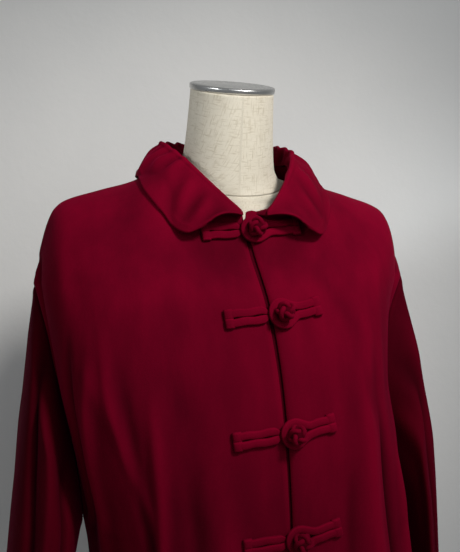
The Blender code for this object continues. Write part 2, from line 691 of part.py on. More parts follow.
def front_surface(tree):
    """A function that gives the y of the fronts at x and z."""

    def depth(x, z):
        x, z = np.broadcast_arrays(np.asarray(x, float), np.asarray(z, float))
        found = np.empty(x.shape)
        for i in np.ndindex(x.shape):
            hit = tree.ray_cast((x[i], -1.0, z[i]), (0.0, 1.0, 0.0))[0]
            found[i] = hit[1] if hit else tree.find_nearest((x[i], -0.11, z[i]))[0][1]
        return found

    return depth


def on_front(depth, origin_x, origin_z, along, across, lift):
    """Points over the fronts: along and across are measured on the cloth from a point of the opening."""
    x, z = np.broadcast_arrays(origin_x + along, origin_z + across)
    step = 0.004
    y = depth(x, z)
    slope_x = (depth(x + step, z) - depth(x - step, z)) / (2 * step)
    slope_z = (depth(x, z + step) - depth(x, z - step)) / (2 * step)
    normal = np.stack(np.broadcast_arrays(slope_x, -1.0, slope_z), axis=-1)
    normal = normal / np.linalg.norm(normal, axis=-1, keepdims=True)
    return np.stack([x, y, z], axis=-1) + normal * np.asarray(lift)[..., None]


def turned(along, across, degrees):
    c, s = math.cos(math.radians(degrees)), math.sin(math.radians(degrees))
    return along * c - across * s, along * s + across * c


def strip_profile(width, height, dip):
    """Half-section of two cords side by side: (across, lift) points round a closed outline."""
    half = width / 2
    return [
        (-half, 0.0), (-half, 0.55 * height), (-0.75 * half, height), (-0.30 * half, height),
        (0.0, height - dip), (0.30 * half, height), (0.75 * half, height), (half, 0.55 * height), (half, 0.0),
        (0.0, 0.0),
    ]


class Frog:
    """One frog's place on the fronts, and its own measures."""

    def __init__(self, number, row, tree):
        self.name = f"frog_{number}_"
        self.z, self.offset, self.ball_reach, self.loop_reach, self.ball_slope, self.loop_slope = row
        self.x = float(OPENING_AT["x"](self.z))
        self.tree = tree
        self.depth = front_surface(tree)

    def place(self, along, across, lift, slope=0.0, about=0.0):
        """Points over the fronts, measured from the opening and turned by a slope about a point on it."""
        a, c = turned(np.asarray(along, float) - about, np.asarray(across, float), slope)
        points = on_front(self.depth, self.x, self.z, a + about, c, np.asarray(lift, float))
        return lift_off(self.tree, points, TRIM_LIFT)


def add_ball_strip(frog, collection, looks):
    """The ball's side: two cords side by side that narrow into a tongue under the loop, up to the ball."""
    rings = []
    end = frog.ball_reach - TAB_LENGTH - SEAM_GAP
    tongue = frog.offset - LOOP_RADIUS - CORD_WIDTH / 2 - 0.0012
    stations = (
        (-end, 1.0, 1.0), (-0.66 * end, 1.0, 1.0), (-0.33 * end, 1.0, 1.0), (tongue - 0.0030, 0.92, 0.95),
        (tongue - 0.0012, 0.62, 0.72), (tongue, 0.40, 0.36), (frog.offset - 0.0070, 0.38, 0.30),
        (frog.offset - 0.0035, 0.36, STEM_HEIGHT), (frog.offset + 0.0035, 0.36, STEM_HEIGHT),
    )
    for along, wide, high in stations:
        profile = strip_profile(STRIP_WIDTH * wide, STRIP_HEIGHT * high, 0.0014 * high * wide)
        across = np.array([p[0] for p in profile])
        lift = TRIM_LIFT + np.array([p[1] for p in profile])
        slope = frog.ball_slope * min(1.0, max(0.0, (tongue + 0.004 - along) / 0.006))
        rings.append(frog.place(np.full(len(profile), along), across, lift, slope))
    add_object(frog.name + "ball_strip", loft(frog.name, np.stack(rings)), looks, collection)


def add_loop(frog, collection, looks):
    """The loop's side: one cord that runs in, round the ball's neck and back beside itself."""
    path = []
    end = frog.loop_reach - TAB_LENGTH - SEAM_GAP
    leg = CORD_WIDTH / 2 + SEAM_GAP / 2
    alongs = np.linspace(end, frog.offset + LOOP_RADIUS * 1.15, 3)
    for along in alongs:
        path.append((along, leg, 0.0))
    opening = math.radians(50)
    for k in range(9):
        angle = opening + (2 * math.pi - 2 * opening) * k / 8
        lift = LOOP_LIFT * (1 - math.cos(angle)) / 2
        path.append((frog.offset + LOOP_RADIUS * math.cos(angle), LOOP_RADIUS * math.sin(angle), lift))
    for along in alongs[::-1]:
        path.append((along, -leg, 0.0))
    path = np.array(path)
    heading = np.gradient(path[:, :2], axis=0)
    heading /= np.linalg.norm(heading, axis=1, keepdims=True)
    sideways = np.stack([-heading[:, 1], heading[:, 0]], axis=1)
    rings = []
    for k in range(8):
        angle = 2 * math.pi * (k + 0.5) / 8
        flat = path[:, :2] + sideways * math.cos(angle) * CORD_WIDTH / 2
        lift = TRIM_LIFT + CORD_HEIGHT / 2 * (1.0 + math.sin(angle)) + path[:, 2]
        rings.append(frog.place(flat[:, 0], flat[:, 1], lift, frog.loop_slope, frog.offset))
    add_object(frog.name + "loop", loft(frog.name, np.stack(rings, axis=1)), looks, collection)


def add_tab(frog, name, collection, looks):
    """The turned-under ends of a frog's cords, as a short raised bar across them."""
    on_loop = name == "loop_tab"
    reach = frog.loop_reach if on_loop else -frog.ball_reach
    along = reach - math.copysign(TAB_LENGTH / 2, reach)
    slope, about = (frog.loop_slope, frog.offset) if on_loop else (frog.ball_slope, 0.0)
    half = TAB_WIDTH / 2
    rings = []
    for offset, high in ((-0.5, 0.72), (-0.36, 1.0), (0.36, 1.0), (0.5, 0.72)):
        profile = [(-half, 0.0), (-half, 0.7 * high), (-0.8 * half, high)]
        profile += [(0.8 * half, high), (half, 0.7 * high), (half, 0.0), (0.0, 0.0)]
        across = np.array([p[0] for p in profile])
        lift = TRIM_LIFT + TAB_HEIGHT * np.array([p[1] for p in profile])
        rings.append(frog.place(np.full(len(profile), along + offset * TAB_LENGTH), across, lift, slope, about))
    add_object(frog.name + name, loft(frog.name, np.stack(rings)), looks, collection)


def add_ball(frog, collection, looks):
    """The knotted ball: a flattened sphere with the swell of its crossing strands."""
    mesh = bpy.data.meshes.new(frog.name + "ball")
    shape = bmesh.new()
    bmesh.ops.create_uvsphere(shape, u_segments=14, v_segments=8, radius=1.0)
    centre = frog.place(frog.offset, 0.0, BALL_LIFT)
    out = centre - frog.place(frog.offset, 0.0, 0.0)
    out /= np.linalg.norm(out)
    side_way = np.cross([0.0, 0.0, 1.0], out)
    side_way /= np.linalg.norm(side_way)
    frame = np.stack([side_way * BALL_RADIUS, np.cross(out, side_way) * BALL_RADIUS, out * BALL_HALF_HEIGHT])
    for vertex in shape.verts:
        direction = vertex.co.normalized()
        around = math.atan2(direction.y, direction.x)
        flat = math.hypot(direction.x, direction.y)
        swell = 1 + BALL_RELIEF * math.cos(BALL_LOBES * around) * flat**2 * math.sin(3 * math.pi * direction.z)
        vertex.co = np.array(direction * swell) @ frame + centre
    shape.to_mesh(mesh)
    shape.free()
    mesh.shade_smooth()
    add_object(frog.name + "ball", mesh, looks, collection)


def add_frogs(tree, collection, velvet):
    for number, row in enumerate(FROGS[1], start=1):
        frog = Frog(number, row, tree)
        add_ball_strip(frog, collection, velvet)
        add_tab(frog, "ball_tab", collection, velvet)
        add_loop(frog, collection, velvet)
        add_tab(frog, "loop_tab", collection, velvet)
        add_ball(frog, collection, velvet)


# The dress form and its stand

def form_ring(read, z):
    """One section of the form, tipped forward by its tip."""
    angle = 2 * math.pi * np.arange(FORM_RING) / FORM_RING
    front, back = read["front"](z), read["back"](z)
    along = power_of(np.cos(angle), read["power"](z))
    x = read["half"](z) * power_of(np.sin(angle), read["power"](z))
    y = (front + back) / 2 + (front - back) / 2 * along
    return np.stack([x, y, z - read["tip"](z) * along], axis=-1)


def add_form(collection, linen, steel, enamel):
    read = {name: column(TORSO, name) for name in TORSO[0][1:]}
    low = np.array([0.700, 0.712, 0.75, 0.80, 0.86, 0.93, 1.00, 1.05, 1.10, 1.15, 1.20, 1.235])
    heights = np.concatenate([low, [row[0] for row in TORSO[1] if row[0] > 1.25]])
    add_object("form_torso", loft("form_torso", np.stack([form_ring(read, z) for z in heights])), linen, collection)
    read = {name: column(NECK, name) for name in NECK[0][1:]}
    heights = np.linspace(NECK[1][0][0], NECK[1][-1][0], 7)
    add_object("form_neck", loft("form_neck", np.stack([form_ring(read, z) for z in heights])), linen, collection)
    _, _, front, back, _, tip = NECK[1][-1]
    lean = math.atan2(2 * tip, back - front)
    centre = np.array([0.0, (front + back) / 2, NECK[1][-1][0]])
    cap = add_turned("form_cap", cap_profile(), steel, collection)
    cap.rotation_euler = (lean, 0.0, 0.0)
    up = np.array([0.0, -math.sin(lean), math.cos(lean)])
    cap.location = centre + up * SEAM_GAP
    add_turned("stand_pole", pole_profile(), steel, collection)
    add_turned("stand_base", base_profile(), enamel, collection)
    add_turned("stand_collar", collar_profile(), steel, collection)


def add_turned(name, profile, looks, collection):
    """A turned solid: a profile from the top down, spun round the Z axis."""
    mesh = bpy.data.meshes.new(name)
    edges = [(i, i + 1) for i in range(len(profile) - 1)]
    mesh.from_pydata([(r, 0.0, z) for r, z in profile], edges, [])
    obj = add_object(name, mesh, looks, collection)
    spin = obj.modifiers.new("spin", "SCREW")
    spin.steps = spin.render_steps = ROUND_STEPS
    spin.use_merge_vertices = True
    spin.merge_threshold = 0.0001
    return obj


def cap_profile():
    top = CAP_HEIGHT
    return [(0.0, top), (CAP_RADIUS - CAP_EDGE, top), (CAP_RADIUS, top - CAP_EDGE), (CAP_RADIUS, 0.0), (0.0, 0.0)]


def pole_profile():
    top = TORSO[1][0][0] - SEAT_GAP / 2
    low = BASE_CROWN + POLE_COLLAR[1] + SEAT_GAP
    return [(0.0, top), (POLE_RADIUS, top), (POLE_RADIUS, low), (0.0, low)]


def collar_profile():
    low = BASE_CROWN + SEAT_GAP / 2
    radius, height = POLE_COLLAR
    return [
        (0.0, low + height), (POLE_RADIUS + 0.002, low + height), (radius * 0.75, low + 0.5 * height),
        (radius, low + 0.15 * height), (radius, low), (0.0, low),
    ]


def base_profile():
    return [
        (0.0, BASE_CROWN), (0.25 * BASE_RADIUS, BASE_CROWN - 0.001), (0.55 * BASE_RADIUS, 0.70 * BASE_CROWN),
        (0.85 * BASE_RADIUS, 0.45 * BASE_CROWN), (BASE_RADIUS - 0.003, BASE_EDGE + 0.001),
        (BASE_RADIUS, BASE_EDGE - 0.002), (BASE_RADIUS, 0.0), (0.0, 0.0),
    ]


def main():
    for obj in list(bpy.data.objects):
        bpy.data.objects.remove(obj)
    collection = bpy.data.collections.new("velvet_shirt_on_form")
    bpy.context.scene.collection.children.link(collection)
    velvet = material("crimson_velvet", (0.16, 0.001, 0.014), 0.85)
    linen = material("linen_cover", (0.62, 0.57, 0.46), 0.90)
    steel = material("polished_steel", (0.60, 0.59, 0.57), 0.22, 1.0)
    enamel = material("base_enamel", (0.75, 0.73, 0.69), 0.45)
    add_form(collection, linen, steel, enamel)
    tree = add_cloth(collection, velvet)
    add_collar(tree, collection, velvet)
    add_underlap(tree, collection, velvet)
    add_frogs(tree, collection, velvet)


main()
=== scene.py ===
"""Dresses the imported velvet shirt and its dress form: draped velvet, knotted frog fasteners, linen and steel."""

import math

import bmesh
import bpy
import numpy as np
from bpy.props import FloatProperty, FloatVectorProperty, IntProperty, PointerProperty
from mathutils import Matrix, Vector
from mathutils.bvhtree import BVHTree


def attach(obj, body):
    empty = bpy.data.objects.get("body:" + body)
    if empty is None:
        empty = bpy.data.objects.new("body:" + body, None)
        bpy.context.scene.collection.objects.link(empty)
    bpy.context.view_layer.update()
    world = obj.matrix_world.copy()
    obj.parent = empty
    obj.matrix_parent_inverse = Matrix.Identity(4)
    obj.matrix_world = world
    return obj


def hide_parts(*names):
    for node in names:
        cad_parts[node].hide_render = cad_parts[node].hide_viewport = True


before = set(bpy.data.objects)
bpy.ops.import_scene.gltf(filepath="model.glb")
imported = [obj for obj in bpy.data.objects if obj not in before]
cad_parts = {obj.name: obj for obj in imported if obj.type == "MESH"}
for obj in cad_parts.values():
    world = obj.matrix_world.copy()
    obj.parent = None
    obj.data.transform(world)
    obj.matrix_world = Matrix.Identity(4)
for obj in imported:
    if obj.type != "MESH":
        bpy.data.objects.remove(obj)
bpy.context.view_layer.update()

bl_info = {
    "name": "Velvet Shirt on a Dress Form",
    "version": (1, 0, 0),
    "blender": (4, 5, 0),
    "location": "View3D > Sidebar > Shirt",
    "description": "A velvet shirt with frog fasteners, draped on a linen dress form",
    "category": "Object",
}

RIGHT, LEFT = -1, 1  # the wearer's sides
FRONT, BACK = -1, 1

# Heights and neckline of the shirt, as in the solids
HEM_Z = 0.660
CUFF_Z = 0.735
UNDERARM_Z = 0.925
ARM_TOP_Z = {RIGHT: 1.191, LEFT: 1.2045}
ARM_TOP_X = {RIGHT: 0.2235, LEFT: 0.2266}
ARM_HALF_DEPTH = 0.034
NECK_HALF = 0.078
NECK_FRONT = 0.100
NECK_BACK = 0.064
NECK_SIDE_Z = 1.333
NECK_FRONT_DROP = 0.067
NECK_BACK_RISE = 0.003
SHOULDER_ROUND = 0.105
NECK_SHARE = 0.22
SECTION_POWER = 2.5
SEAM_PULL = 5
SLEEVE_POWER = 2.3
SLEEVE_ROUND = 0.055
FOLD_FADE = 0.10

# Fine grids
ARM_ROWS = 76
SIDE_ROWS = 72
NECK_COLUMNS = 28
SHOULDER_COLUMNS = 66
SLEEVE_ROWS = 120
COLLAR_STEPS = 44

# The body's free-hanging sections: how far it reaches each way, where its side faces, and how far it turns
BODY = (
    ("z", "right", "left", "front", "back", "front_mid", "back_mid", "turn"),
    (
        (0.650, 0.1720, 0.2220, -0.167, 0.136, -0.012, 0.012, 90.0),
        (0.760, 0.1600, 0.2170, -0.163, 0.127, -0.013, 0.012, 90.0),
        (0.870, 0.1515, 0.2085, -0.163, 0.120, -0.018, 0.014, 90.0),
        (0.930, 0.1600, 0.1960, -0.164, 0.117, -0.032, 0.022, 94.0),
        (1.020, 0.1840, 0.1780, -0.166, 0.117, -0.056, 0.042, 103.0),
        (1.090, 0.1990, 0.1640, -0.161, 0.119, -0.066, 0.050, 107.0),
        (1.170, 0.2075, 0.1660, -0.143, 0.115, -0.066, 0.050, 107.0),
        (1.247, 0.2050, 0.1840, -0.106, 0.098, -0.058, 0.045, 104.0),
        (1.340, 0.2030, 0.2030, -0.088, 0.070, -0.040, 0.030, 100.0),
    ),
)
OPENING = (
    ("z", "x", "groove"),
    (
        (0.650, 0.0310, 0.0030),
        (0.935, 0.0276, 0.0034),
        (0.993, 0.0246, 0.0036),
        (1.080, 0.0183, 0.0040),
        (1.125, 0.0138, 0.0044),
        (1.180, 0.0075, 0.0050),
        (1.214, 0.0033, 0.0054),
        (1.270, -0.0040, 0.0054),
    ),
)
SHOULDER = ((0.078, 1.3330), (0.108, 1.3110), (0.150, 1.2985), (0.1915, 1.2850), (0.2030, 1.2740), (0.2144, 1.2390))
ARMHOLE = (
    ("share", "right", "left"),
    (
        (0.00, 0.1680, 0.1960),
        (0.28, 0.1800, 0.1890),
        (0.57, 0.1955, 0.1850),
        (0.81, 0.2085, 0.1970),
        (1.00, ARM_TOP_X[RIGHT], ARM_TOP_X[LEFT]),
    ),
)
SLEEVE = (
    ("z", "right_out", "right_in", "left_out", "left_in", "front", "back"),
    (
        (0.735, 0.2650, 0.1960, 0.2620, 0.2220, -0.056, 0.052),
        (0.850, 0.2565, 0.1845, 0.2535, 0.2160, -0.077, 0.072),
        (0.930, 0.2500, 0.1760, 0.2490, 0.2060, -0.083, 0.079),
        (1.000, 0.2430, 0.1820, 0.2455, 0.1950, -0.079, 0.075),
        (1.070, 0.2360, 0.1960, 0.2405, 0.1920, -0.066, 0.066),
        (1.150, 0.2280, 0.2060, 0.2325, 0.1980, -0.046, 0.048),
        (1.210, 0.2230, 0.2130, 0.2255, 0.2100, -0.020, 0.022),
    ),
)

# Folds of the body, ridges or (where negative) troughs: their heights, their places round the panel as
# shares of its width, and how wide and high they are
BODY_FOLDS = (
    ("side", "face", "z_high", "z_low", "w_high", "w_low", "width", "height"),
    (
        (RIGHT, FRONT, 1.14, 0.860, 0.52, 0.86, 0.045, 0.0070),
        (RIGHT, FRONT, 1.16, 0.900, 0.64, 0.93, 0.040, -0.0080),
        (RIGHT, FRONT, 1.17, 0.940, 0.48, 0.46, 0.030, 0.0040),
        (RIGHT, FRONT, 1.13, 0.860, 0.40, 0.50, 0.030, -0.0030),
        (RIGHT, FRONT, 1.10, 0.640, 0.29, 0.62, 0.032, 0.0065),
        (RIGHT, FRONT, 1.04, 0.640, 0.22, 0.42, 0.040, -0.0035),
        (RIGHT, FRONT, 0.98, 0.640, 0.16, 0.22, 0.060, 0.0055),
        (RIGHT, FRONT, 0.90, 0.640, 0.74, 0.78, 0.050, 0.0060),
        (LEFT, FRONT, 1.12, 0.640, 0.31, 0.37, 0.055, 0.0065),
        (LEFT, FRONT, 1.08, 0.640, 0.45, 0.52, 0.040, -0.0070),
        (LEFT, FRONT, 1.04, 0.640, 0.60, 0.68, 0.055, 0.0080),
        (LEFT, FRONT, 1.02, 0.640, 0.20, 0.24, 0.050, -0.0030),
        (LEFT, FRONT, 0.92, 0.640, 0.12, 0.16, 0.050, 0.0050),
        (RIGHT, BACK, 1.16, 0.640, 0.62, 0.70, 0.060, 0.0090),
        (RIGHT, BACK, 1.18, 0.800, 0.80, 0.84, 0.030, -0.0060),
        (RIGHT, BACK, 1.10, 0.640, 0.42, 0.46, 0.050, -0.0060),
        (RIGHT, BACK, 1.02, 0.640, 0.20, 0.24, 0.060, 0.0070),
        (LEFT, BACK, 1.17, 0.640, 0.55, 0.62, 0.055, 0.0090),
        (LEFT, BACK, 1.16, 0.820, 0.77, 0.82, 0.030, -0.0060),
        (LEFT, BACK, 1.06, 0.640, 0.34, 0.40, 0.050, -0.0060),
        (LEFT, BACK, 1.00, 0.640, 0.12, 0.17, 0.060, 0.0070),
    ),
)
# Creases from the shoulder corners down beside the armholes, in the same terms
CREASES = (
    ("side", "face", "z_high", "z_low", "w_high", "w_low", "width", "height"),
    (
        (RIGHT, FRONT, 1.285, 1.030, 0.880, 0.945, 0.022, -0.0085),
        (RIGHT, FRONT, 1.240, 1.040, 0.935, 0.975, 0.018, 0.0035),
        (RIGHT, FRONT, 1.100, 0.930, 0.955, 0.975, 0.020, -0.0075),
        (LEFT, FRONT, 1.285, 1.060, 0.880, 0.910, 0.022, -0.0090),
        (LEFT, FRONT, 1.240, 1.000, 0.940, 0.960, 0.020, 0.0040),
        (LEFT, FRONT, 1.120, 0.930, 0.955, 0.970, 0.020, -0.0060),
        (RIGHT, BACK, 1.270, 1.060, 0.890, 0.930, 0.022, -0.0070),
        (LEFT, BACK, 1.270, 1.080, 0.880, 0.920, 0.022, -0.0070),
    ),
)
# Slanting drag lines, from one point of a panel to another
DRAGS = (
    ("side", "face", "w_a", "z_a", "w_b", "z_b", "width", "height"),
    (
        (LEFT, FRONT, 0.05, 1.235, 0.30, 1.150, 0.012, -0.0012),
        (LEFT, FRONT, 0.20, 1.200, 0.36, 1.120, 0.013, -0.0014),
        (LEFT, FRONT, 0.55, 1.235, 0.34, 1.060, 0.016, 0.0012),
        (RIGHT, FRONT, 0.60, 1.235, 0.50, 1.130, 0.015, -0.0016),
        (RIGHT, FRONT, 0.72, 1.240, 0.60, 1.150, 0.013, 0.0012),
        (RIGHT, FRONT, 0.62, 1.120, 0.44, 1.030, 0.014, 0.0014),
        (RIGHT, FRONT, 0.30, 1.110, 0.16, 1.020, 0.014, -0.0008),
        (RIGHT, BACK, 0.70, 1.220, 0.40, 1.100, 0.016, 0.0020),
        (LEFT, BACK, 0.66, 1.230, 0.36, 1.120, 0.016, 0.0020),
        (LEFT, BACK, 0.30, 1.270, 0.20, 1.180, 0.014, -0.0012),
    ),
)
SLEEVE_FOLDS = (
    ("side", "z_high", "z_low", "turn_high", "turn_low", "width", "height"),
    (
        (RIGHT, 1.17, 0.72, 0.270, 0.245, 0.022, 0.0080),
        (RIGHT, 1.17, 0.72, 0.335, 0.320, 0.030, -0.0100),
        (RIGHT, 1.15, 0.72, 0.200, 0.180, 0.024, -0.0075),
        (RIGHT, 1.12, 0.72, 0.640, 0.650, 0.045, 0.0070),
        (RIGHT, 1.08, 0.72, 0.740, 0.760, 0.035, -0.0070),
        (LEFT, 1.17, 0.72, 0.215, 0.230, 0.022, 0.0075),
        (LEFT, 1.16, 0.72, 0.300, 0.310, 0.032, -0.0080),
        (LEFT, 1.10, 0.80, 0.380, 0.400, 0.024, 0.0040),
        (LEFT, 1.12, 0.72, 0.660, 0.670, 0.045, 0.0070),
        (LEFT, 1.08, 0.72, 0.765, 0.780, 0.035, -0.0070),
    ),
)

# Collar: the fold at its top and its outer edge, from the middle of the front round to the middle of the back
COLLAR = (
    ("turn", "roll_x", "roll_y", "roll_z", "edge_x", "edge_y", "edge_z"),
    (
        (0.00, 0.0105, -0.1090, 1.2690, 0.0560, -0.1210, 1.2515),
        (0.06, 0.0150, -0.1075, 1.2740, 0.0720, -0.1170, 1.2460),
        (0.12, 0.0240, -0.1010, 1.2840, 0.0800, -0.1105, 1.2485),
        (0.25, 0.0430, -0.0820, 1.3080, 0.0930, -0.0900, 1.2640),
        (0.38, 0.0590, -0.0570, 1.3310, 0.1040, -0.0560, 1.2880),
        (0.52, 0.0700, -0.0180, 1.3500, 0.1085, -0.0080, 1.3165),
        (0.68, 0.0680, 0.0290, 1.3600, 0.0980, 0.0480, 1.3180),
        (0.84, 0.0420, 0.0600, 1.3640, 0.0590, 0.0850, 1.3090),
        (1.00, 0.0000, 0.0710, 1.3650, 0.0000, 0.0960, 1.3060),
    ),
)
FACING = 0.03  # width of the turned-in front edges
COLLAR_FRONT_SHIFT = {RIGHT: 0.0007, LEFT: 0.0060}
COLLAR_FRONT_ARCH = 0.0060
COLLAR_BULGE = 0.0050
COLLAR_ROLL = 0.0040
COLLAR_THICK = 0.0030
COLLAR_CLEAR = 0.0030
COLLAR_REST = 0.0012
BODY_CENTRE = np.array([0.0, 0.0, 1.05])

FROGS = (
    ("z", "offset", "ball_reach", "loop_reach", "ball_slope", "loop_slope"),
    (
        (1.2500, 0.0060, 0.0520, 0.0600, 4.0, 5.0),
        (1.1595, 0.0125, 0.0500, 0.0570, 6.0, 11.0),
        (1.0375, 0.0075, 0.0575, 0.0540, 6.5, 12.0),
        (0.9272, 0.0075, 0.0520, 0.0545, 6.0, 13.0),
        (0.8160, 0.0080, 0.0530, 0.0550, 6.0, 11.0),
    ),
)
TAB_LENGTH = 0.0085
TRIM_LIFT = 0.0004
BALL_LIFT = 0.0150  # height of a ball's middle over the cloth
BALL_FLATTENING = 0.84
KNOT_STRANDS = 3  # turns that the ball's cord makes round it
KNOT_WEAVE = 0.36  # how far the cord passes over and under itself, as a share of its thickness
KNOT_LATITUDE = math.radians(56)
KNOT_STEPS = 220
UNDERLAP_WIDTH = 0.030
UNDERLAP_HEIGHTS = (1.256, 0.668)
UNDERLAP_DEPTHS = (-0.0042, -0.0058)
UNDERLAP_GRID = (100, 9)

# Dress form, as horizontal sections; tip is how far the front of a section drops and its back rises
TORSO = (
    ("z", "half", "front", "back", "power", "tip", "throat"),
    (
        (0.7000, 0.1380, -0.1040, 0.1000, 2.2, 0.0000, 0.0000),
        (0.7120, 0.1440, -0.1090, 0.1050, 2.2, 0.0000, 0.0000),
        (0.7800, 0.1460, -0.1120, 0.1060, 2.2, 0.0000, 0.0000),
        (0.9300, 0.1160, -0.0920, 0.0800, 2.2, 0.0000, 0.0000),
        (1.0900, 0.1480, -0.1280, 0.0920, 2.3, 0.0000, 0.0000),
        (1.1700, 0.1580, -0.1100, 0.0940, 2.4, 0.0000, 0.0000),
        (1.2300, 0.1740, -0.0860, 0.0840, 2.3, 0.0000, 0.0060),
        (1.2599, 0.1900, -0.0690, 0.0670, 2.0, 0.0010, 0.0140),
        (1.2699, 0.1895, -0.0630, 0.0580, 1.8, 0.0030, 0.0170),
        (1.2804, 0.1760, -0.0580, 0.0520, 1.6, 0.0050, 0.0190),
        (1.2909, 0.1440, -0.0560, 0.0470, 1.6, 0.0100, 0.0180),
        (1.3009, 0.1165, -0.0600, 0.0490, 1.7, 0.0150, 0.0120),
        (1.3089, 0.0860, -0.0650, 0.0490, 1.8, 0.0200, 0.0050),
        (1.3129, 0.0672, -0.0690, 0.0530, 2.0, 0.0240, 0.0000),
    ),
)
THROAT_HALF = 0.042  # half width of the form's upper chest between the collar's fronts
NECK = (
    ("z", "half", "front", "back", "power", "tip"),
    (
        (1.3133, 0.0668, -0.0688, 0.0528, 2.0, 0.0240),
        (1.3200, 0.0600, -0.0682, 0.0475, 2.0, 0.0236),
        (1.3320, 0.0540, -0.0690, 0.0420, 2.0, 0.0225),
        (1.3600, 0.0508, -0.0730, 0.0335, 2.0, 0.0200),
        (1.3960, 0.0487, -0.0795, 0.0250, 2.0, 0.0165),
        (1.4145, 0.0478, -0.0830, 0.0205, 2.0, 0.0155),
    ),
)
FORM_RING = 120  # points round each section of the form
CAP_RADIUS = 0.0497
CAP_HEIGHT = 0.0065
POLE_RADIUS = 0.0160
POLE_TOP = 0.6997
POLE_COLLAR = (0.0300, 0.0340)
BASE_RADIUS = 0.1850
BASE_CROWN = 0.0260
BASE_EDGE = 0.0080
ROUND_STEPS = 96
AXIS = 0.0002  # radius at which a turned solid is closed

# Shares of painted light, 0 for full painted shade and 1 for full painted highlight: on flat cloth, inside the shirt
# (painted shade), behind the opening (painted shade in the groove), on the knots (slight painted highlight) and in
# their cores (painted shade)
FLAT_PAINTED_LIGHT, INSIDE_PAINTED_SHADE, UNDERLAP_PAINTED_SHADE, KNOT_PAINTED_LIGHT, CORE_PAINTED_SHADE = 0.5, 0.4, 0.12, 0.58, 0.1
PAINTED_LIGHT_REACH = 5
PAINTED_LIGHT_RISE = 0.0035  # height of a raised fold that gets the whole painted highlight

# Camera, in the photograph's pixels
IMAGE_HEIGHT = 552
SHIFT_PIXELS = 5
SENSOR = 36


# Reading a table

def column(table, name):
    """A smooth function that passes through a named column, read by the table's first column."""
    names, rows = table
    at = np.array([row[0] for row in rows], float)
    value = np.array([row[names.index(name)] for row in rows], float)
    step = np.diff(at)
    slope = np.diff(value) / step
    tangent = np.zeros(len(at))
    tangent[0], tangent[-1] = slope[0], slope[-1]
    for i in range(1, len(at) - 1):
        if slope[i - 1] * slope[i] > 0:
            tangent[i] = 2 * slope[i - 1] * slope[i] / (slope[i - 1] + slope[i])

    def read(where):
        where = np.clip(where, at[0], at[-1])
        i = np.clip(np.searchsorted(at, where, side="right") - 1, 0, len(at) - 2)
        t = (where - at[i]) / step[i]
        return (
            (2 * t**3 - 3 * t**2 + 1) * value[i]
            + (t**3 - 2 * t**2 + t) * step[i] * tangent[i]
            + (3 * t**2 - 2 * t**3) * value[i + 1]
            + (t**3 - t**2) * step[i] * tangent[i + 1]
        )

    return read


BODY_AT = {name: column(BODY, name) for name in BODY[0][1:]}
OPENING_AT = {name: column(OPENING, name) for name in OPENING[0][1:]}
ARMHOLE_AT = {name: column(ARMHOLE, name) for name in ARMHOLE[0][1:]}
SLEEVE_AT = {name: column(SLEEVE, name) for name in SLEEVE[0][1:]}
SIDE_NAME = {RIGHT: "right", LEFT: "left"}
FACE_NAME = {FRONT: "front", BACK: "back"}


def power_of(value, power):
    """A signed power, for the rounded-rectangle sections."""
    return np.sign(value) * np.abs(value) ** (2.0 / power)


def fade(value, low, high):
    """0 below low and 1 above high, with a smooth step between."""
    t = np.clip((value - low) / (high - low), 0.0, 1.0)
    return t * t * (3 - 2 * t)


def ripple(a, b, seed, scale):
    """Soft uneven waves over two measures in metres, from -1 to 1, the same each time."""
    made = np.random.default_rng(seed)
    total = np.zeros(np.broadcast(a, b).shape)
    for _ in range(7):
        along, across = made.uniform(0.7, 1.6), made.uniform(-0.5, 0.5)
        total = total + np.sin((a * along + b * across) * 2 * math.pi / scale + made.uniform(0, 7))
    return total / 7 * 1.6


# The shirt's body

def seam_point(side, face, z):
    """x and y of the panel's outer edge at a height: the armhole above the underarm, the side seam below."""
    name = SIDE_NAME[side]
    share = np.clip((z - UNDERARM_Z) / (ARM_TOP_Z[side] - UNDERARM_Z), 0.0, 1.0)
    angle = np.arccos(1 - 2 * share)
    under = BODY_AT[name](z) + ARMHOLE_AT[name](0.0) - BODY_AT[name](UNDERARM_Z)
    x = np.where(z > UNDERARM_Z, ARMHOLE_AT[name](share), under)
    return side * x, face * ARM_HALF_DEPTH * np.sin(angle)


def middle_x(side, face, z):
    """Where a panel starts: at its side of the front opening, or at the middle of the back."""
    if face == FRONT:
        return OPENING_AT["x"](z) + side * OPENING_AT["groove"](z) / 2
    return (BODY_AT["left"](z) - BODY_AT["right"](z)) / 2


def pushed(table, side, face, w, z, start):
    """How far a table's folds push the cloth out at a share w of the way round and a height z."""
    total = np.zeros(np.broadcast(w, z).shape)
    for fold_side, fold_face, high, low, w_high, w_low, width, height in table[1]:
        if (fold_side, fold_face) == (side, face):
            down = np.clip((high - z) / (high - low), 0.0, 1.0)
            where = w_high + (w_low - w_high) * down + 0.008 * np.sin(z * 31 + w_high * 40) * (w_high < 0.87)
            grown = fade(high - z, 0.0, start) * fade(z - low, -start / 4, start / 4)
            spread = width * (0.8 + 0.4 * down)
            total = total + height * grown * np.exp(-(((w - where) / spread) ** 2))
    return total


def folds(side, face, w, z):
    """The folds, drag lines and soft unevenness of a panel."""
    total = pushed(BODY_FOLDS, side, face, w, z, FOLD_FADE)
    for drag_side, drag_face, w_a, z_a, w_b, z_b, width, height in DRAGS[1]:
        if (drag_side, drag_face) == (side, face):
            run = np.array([(w_b - w_a) * 0.3, z_b - z_a])
            across, up = (w - w_a) * 0.3, z - z_a
            along = np.clip((across * run[0] + up * run[1]) / (run @ run), 0.0, 1.0)
            off = np.hypot(across - along * run[0], up - along * run[1])
            total = total + height * np.sin(math.pi * along) * np.exp(-((off / width) ** 2))
    seed = 3 + 2 * (side > 0) + 4 * (face > 0)
    return total + 0.0007 * ripple(w * 0.30, z * 0.22, seed, 0.055) * fade(1.27 - z, 0.0, 0.15)


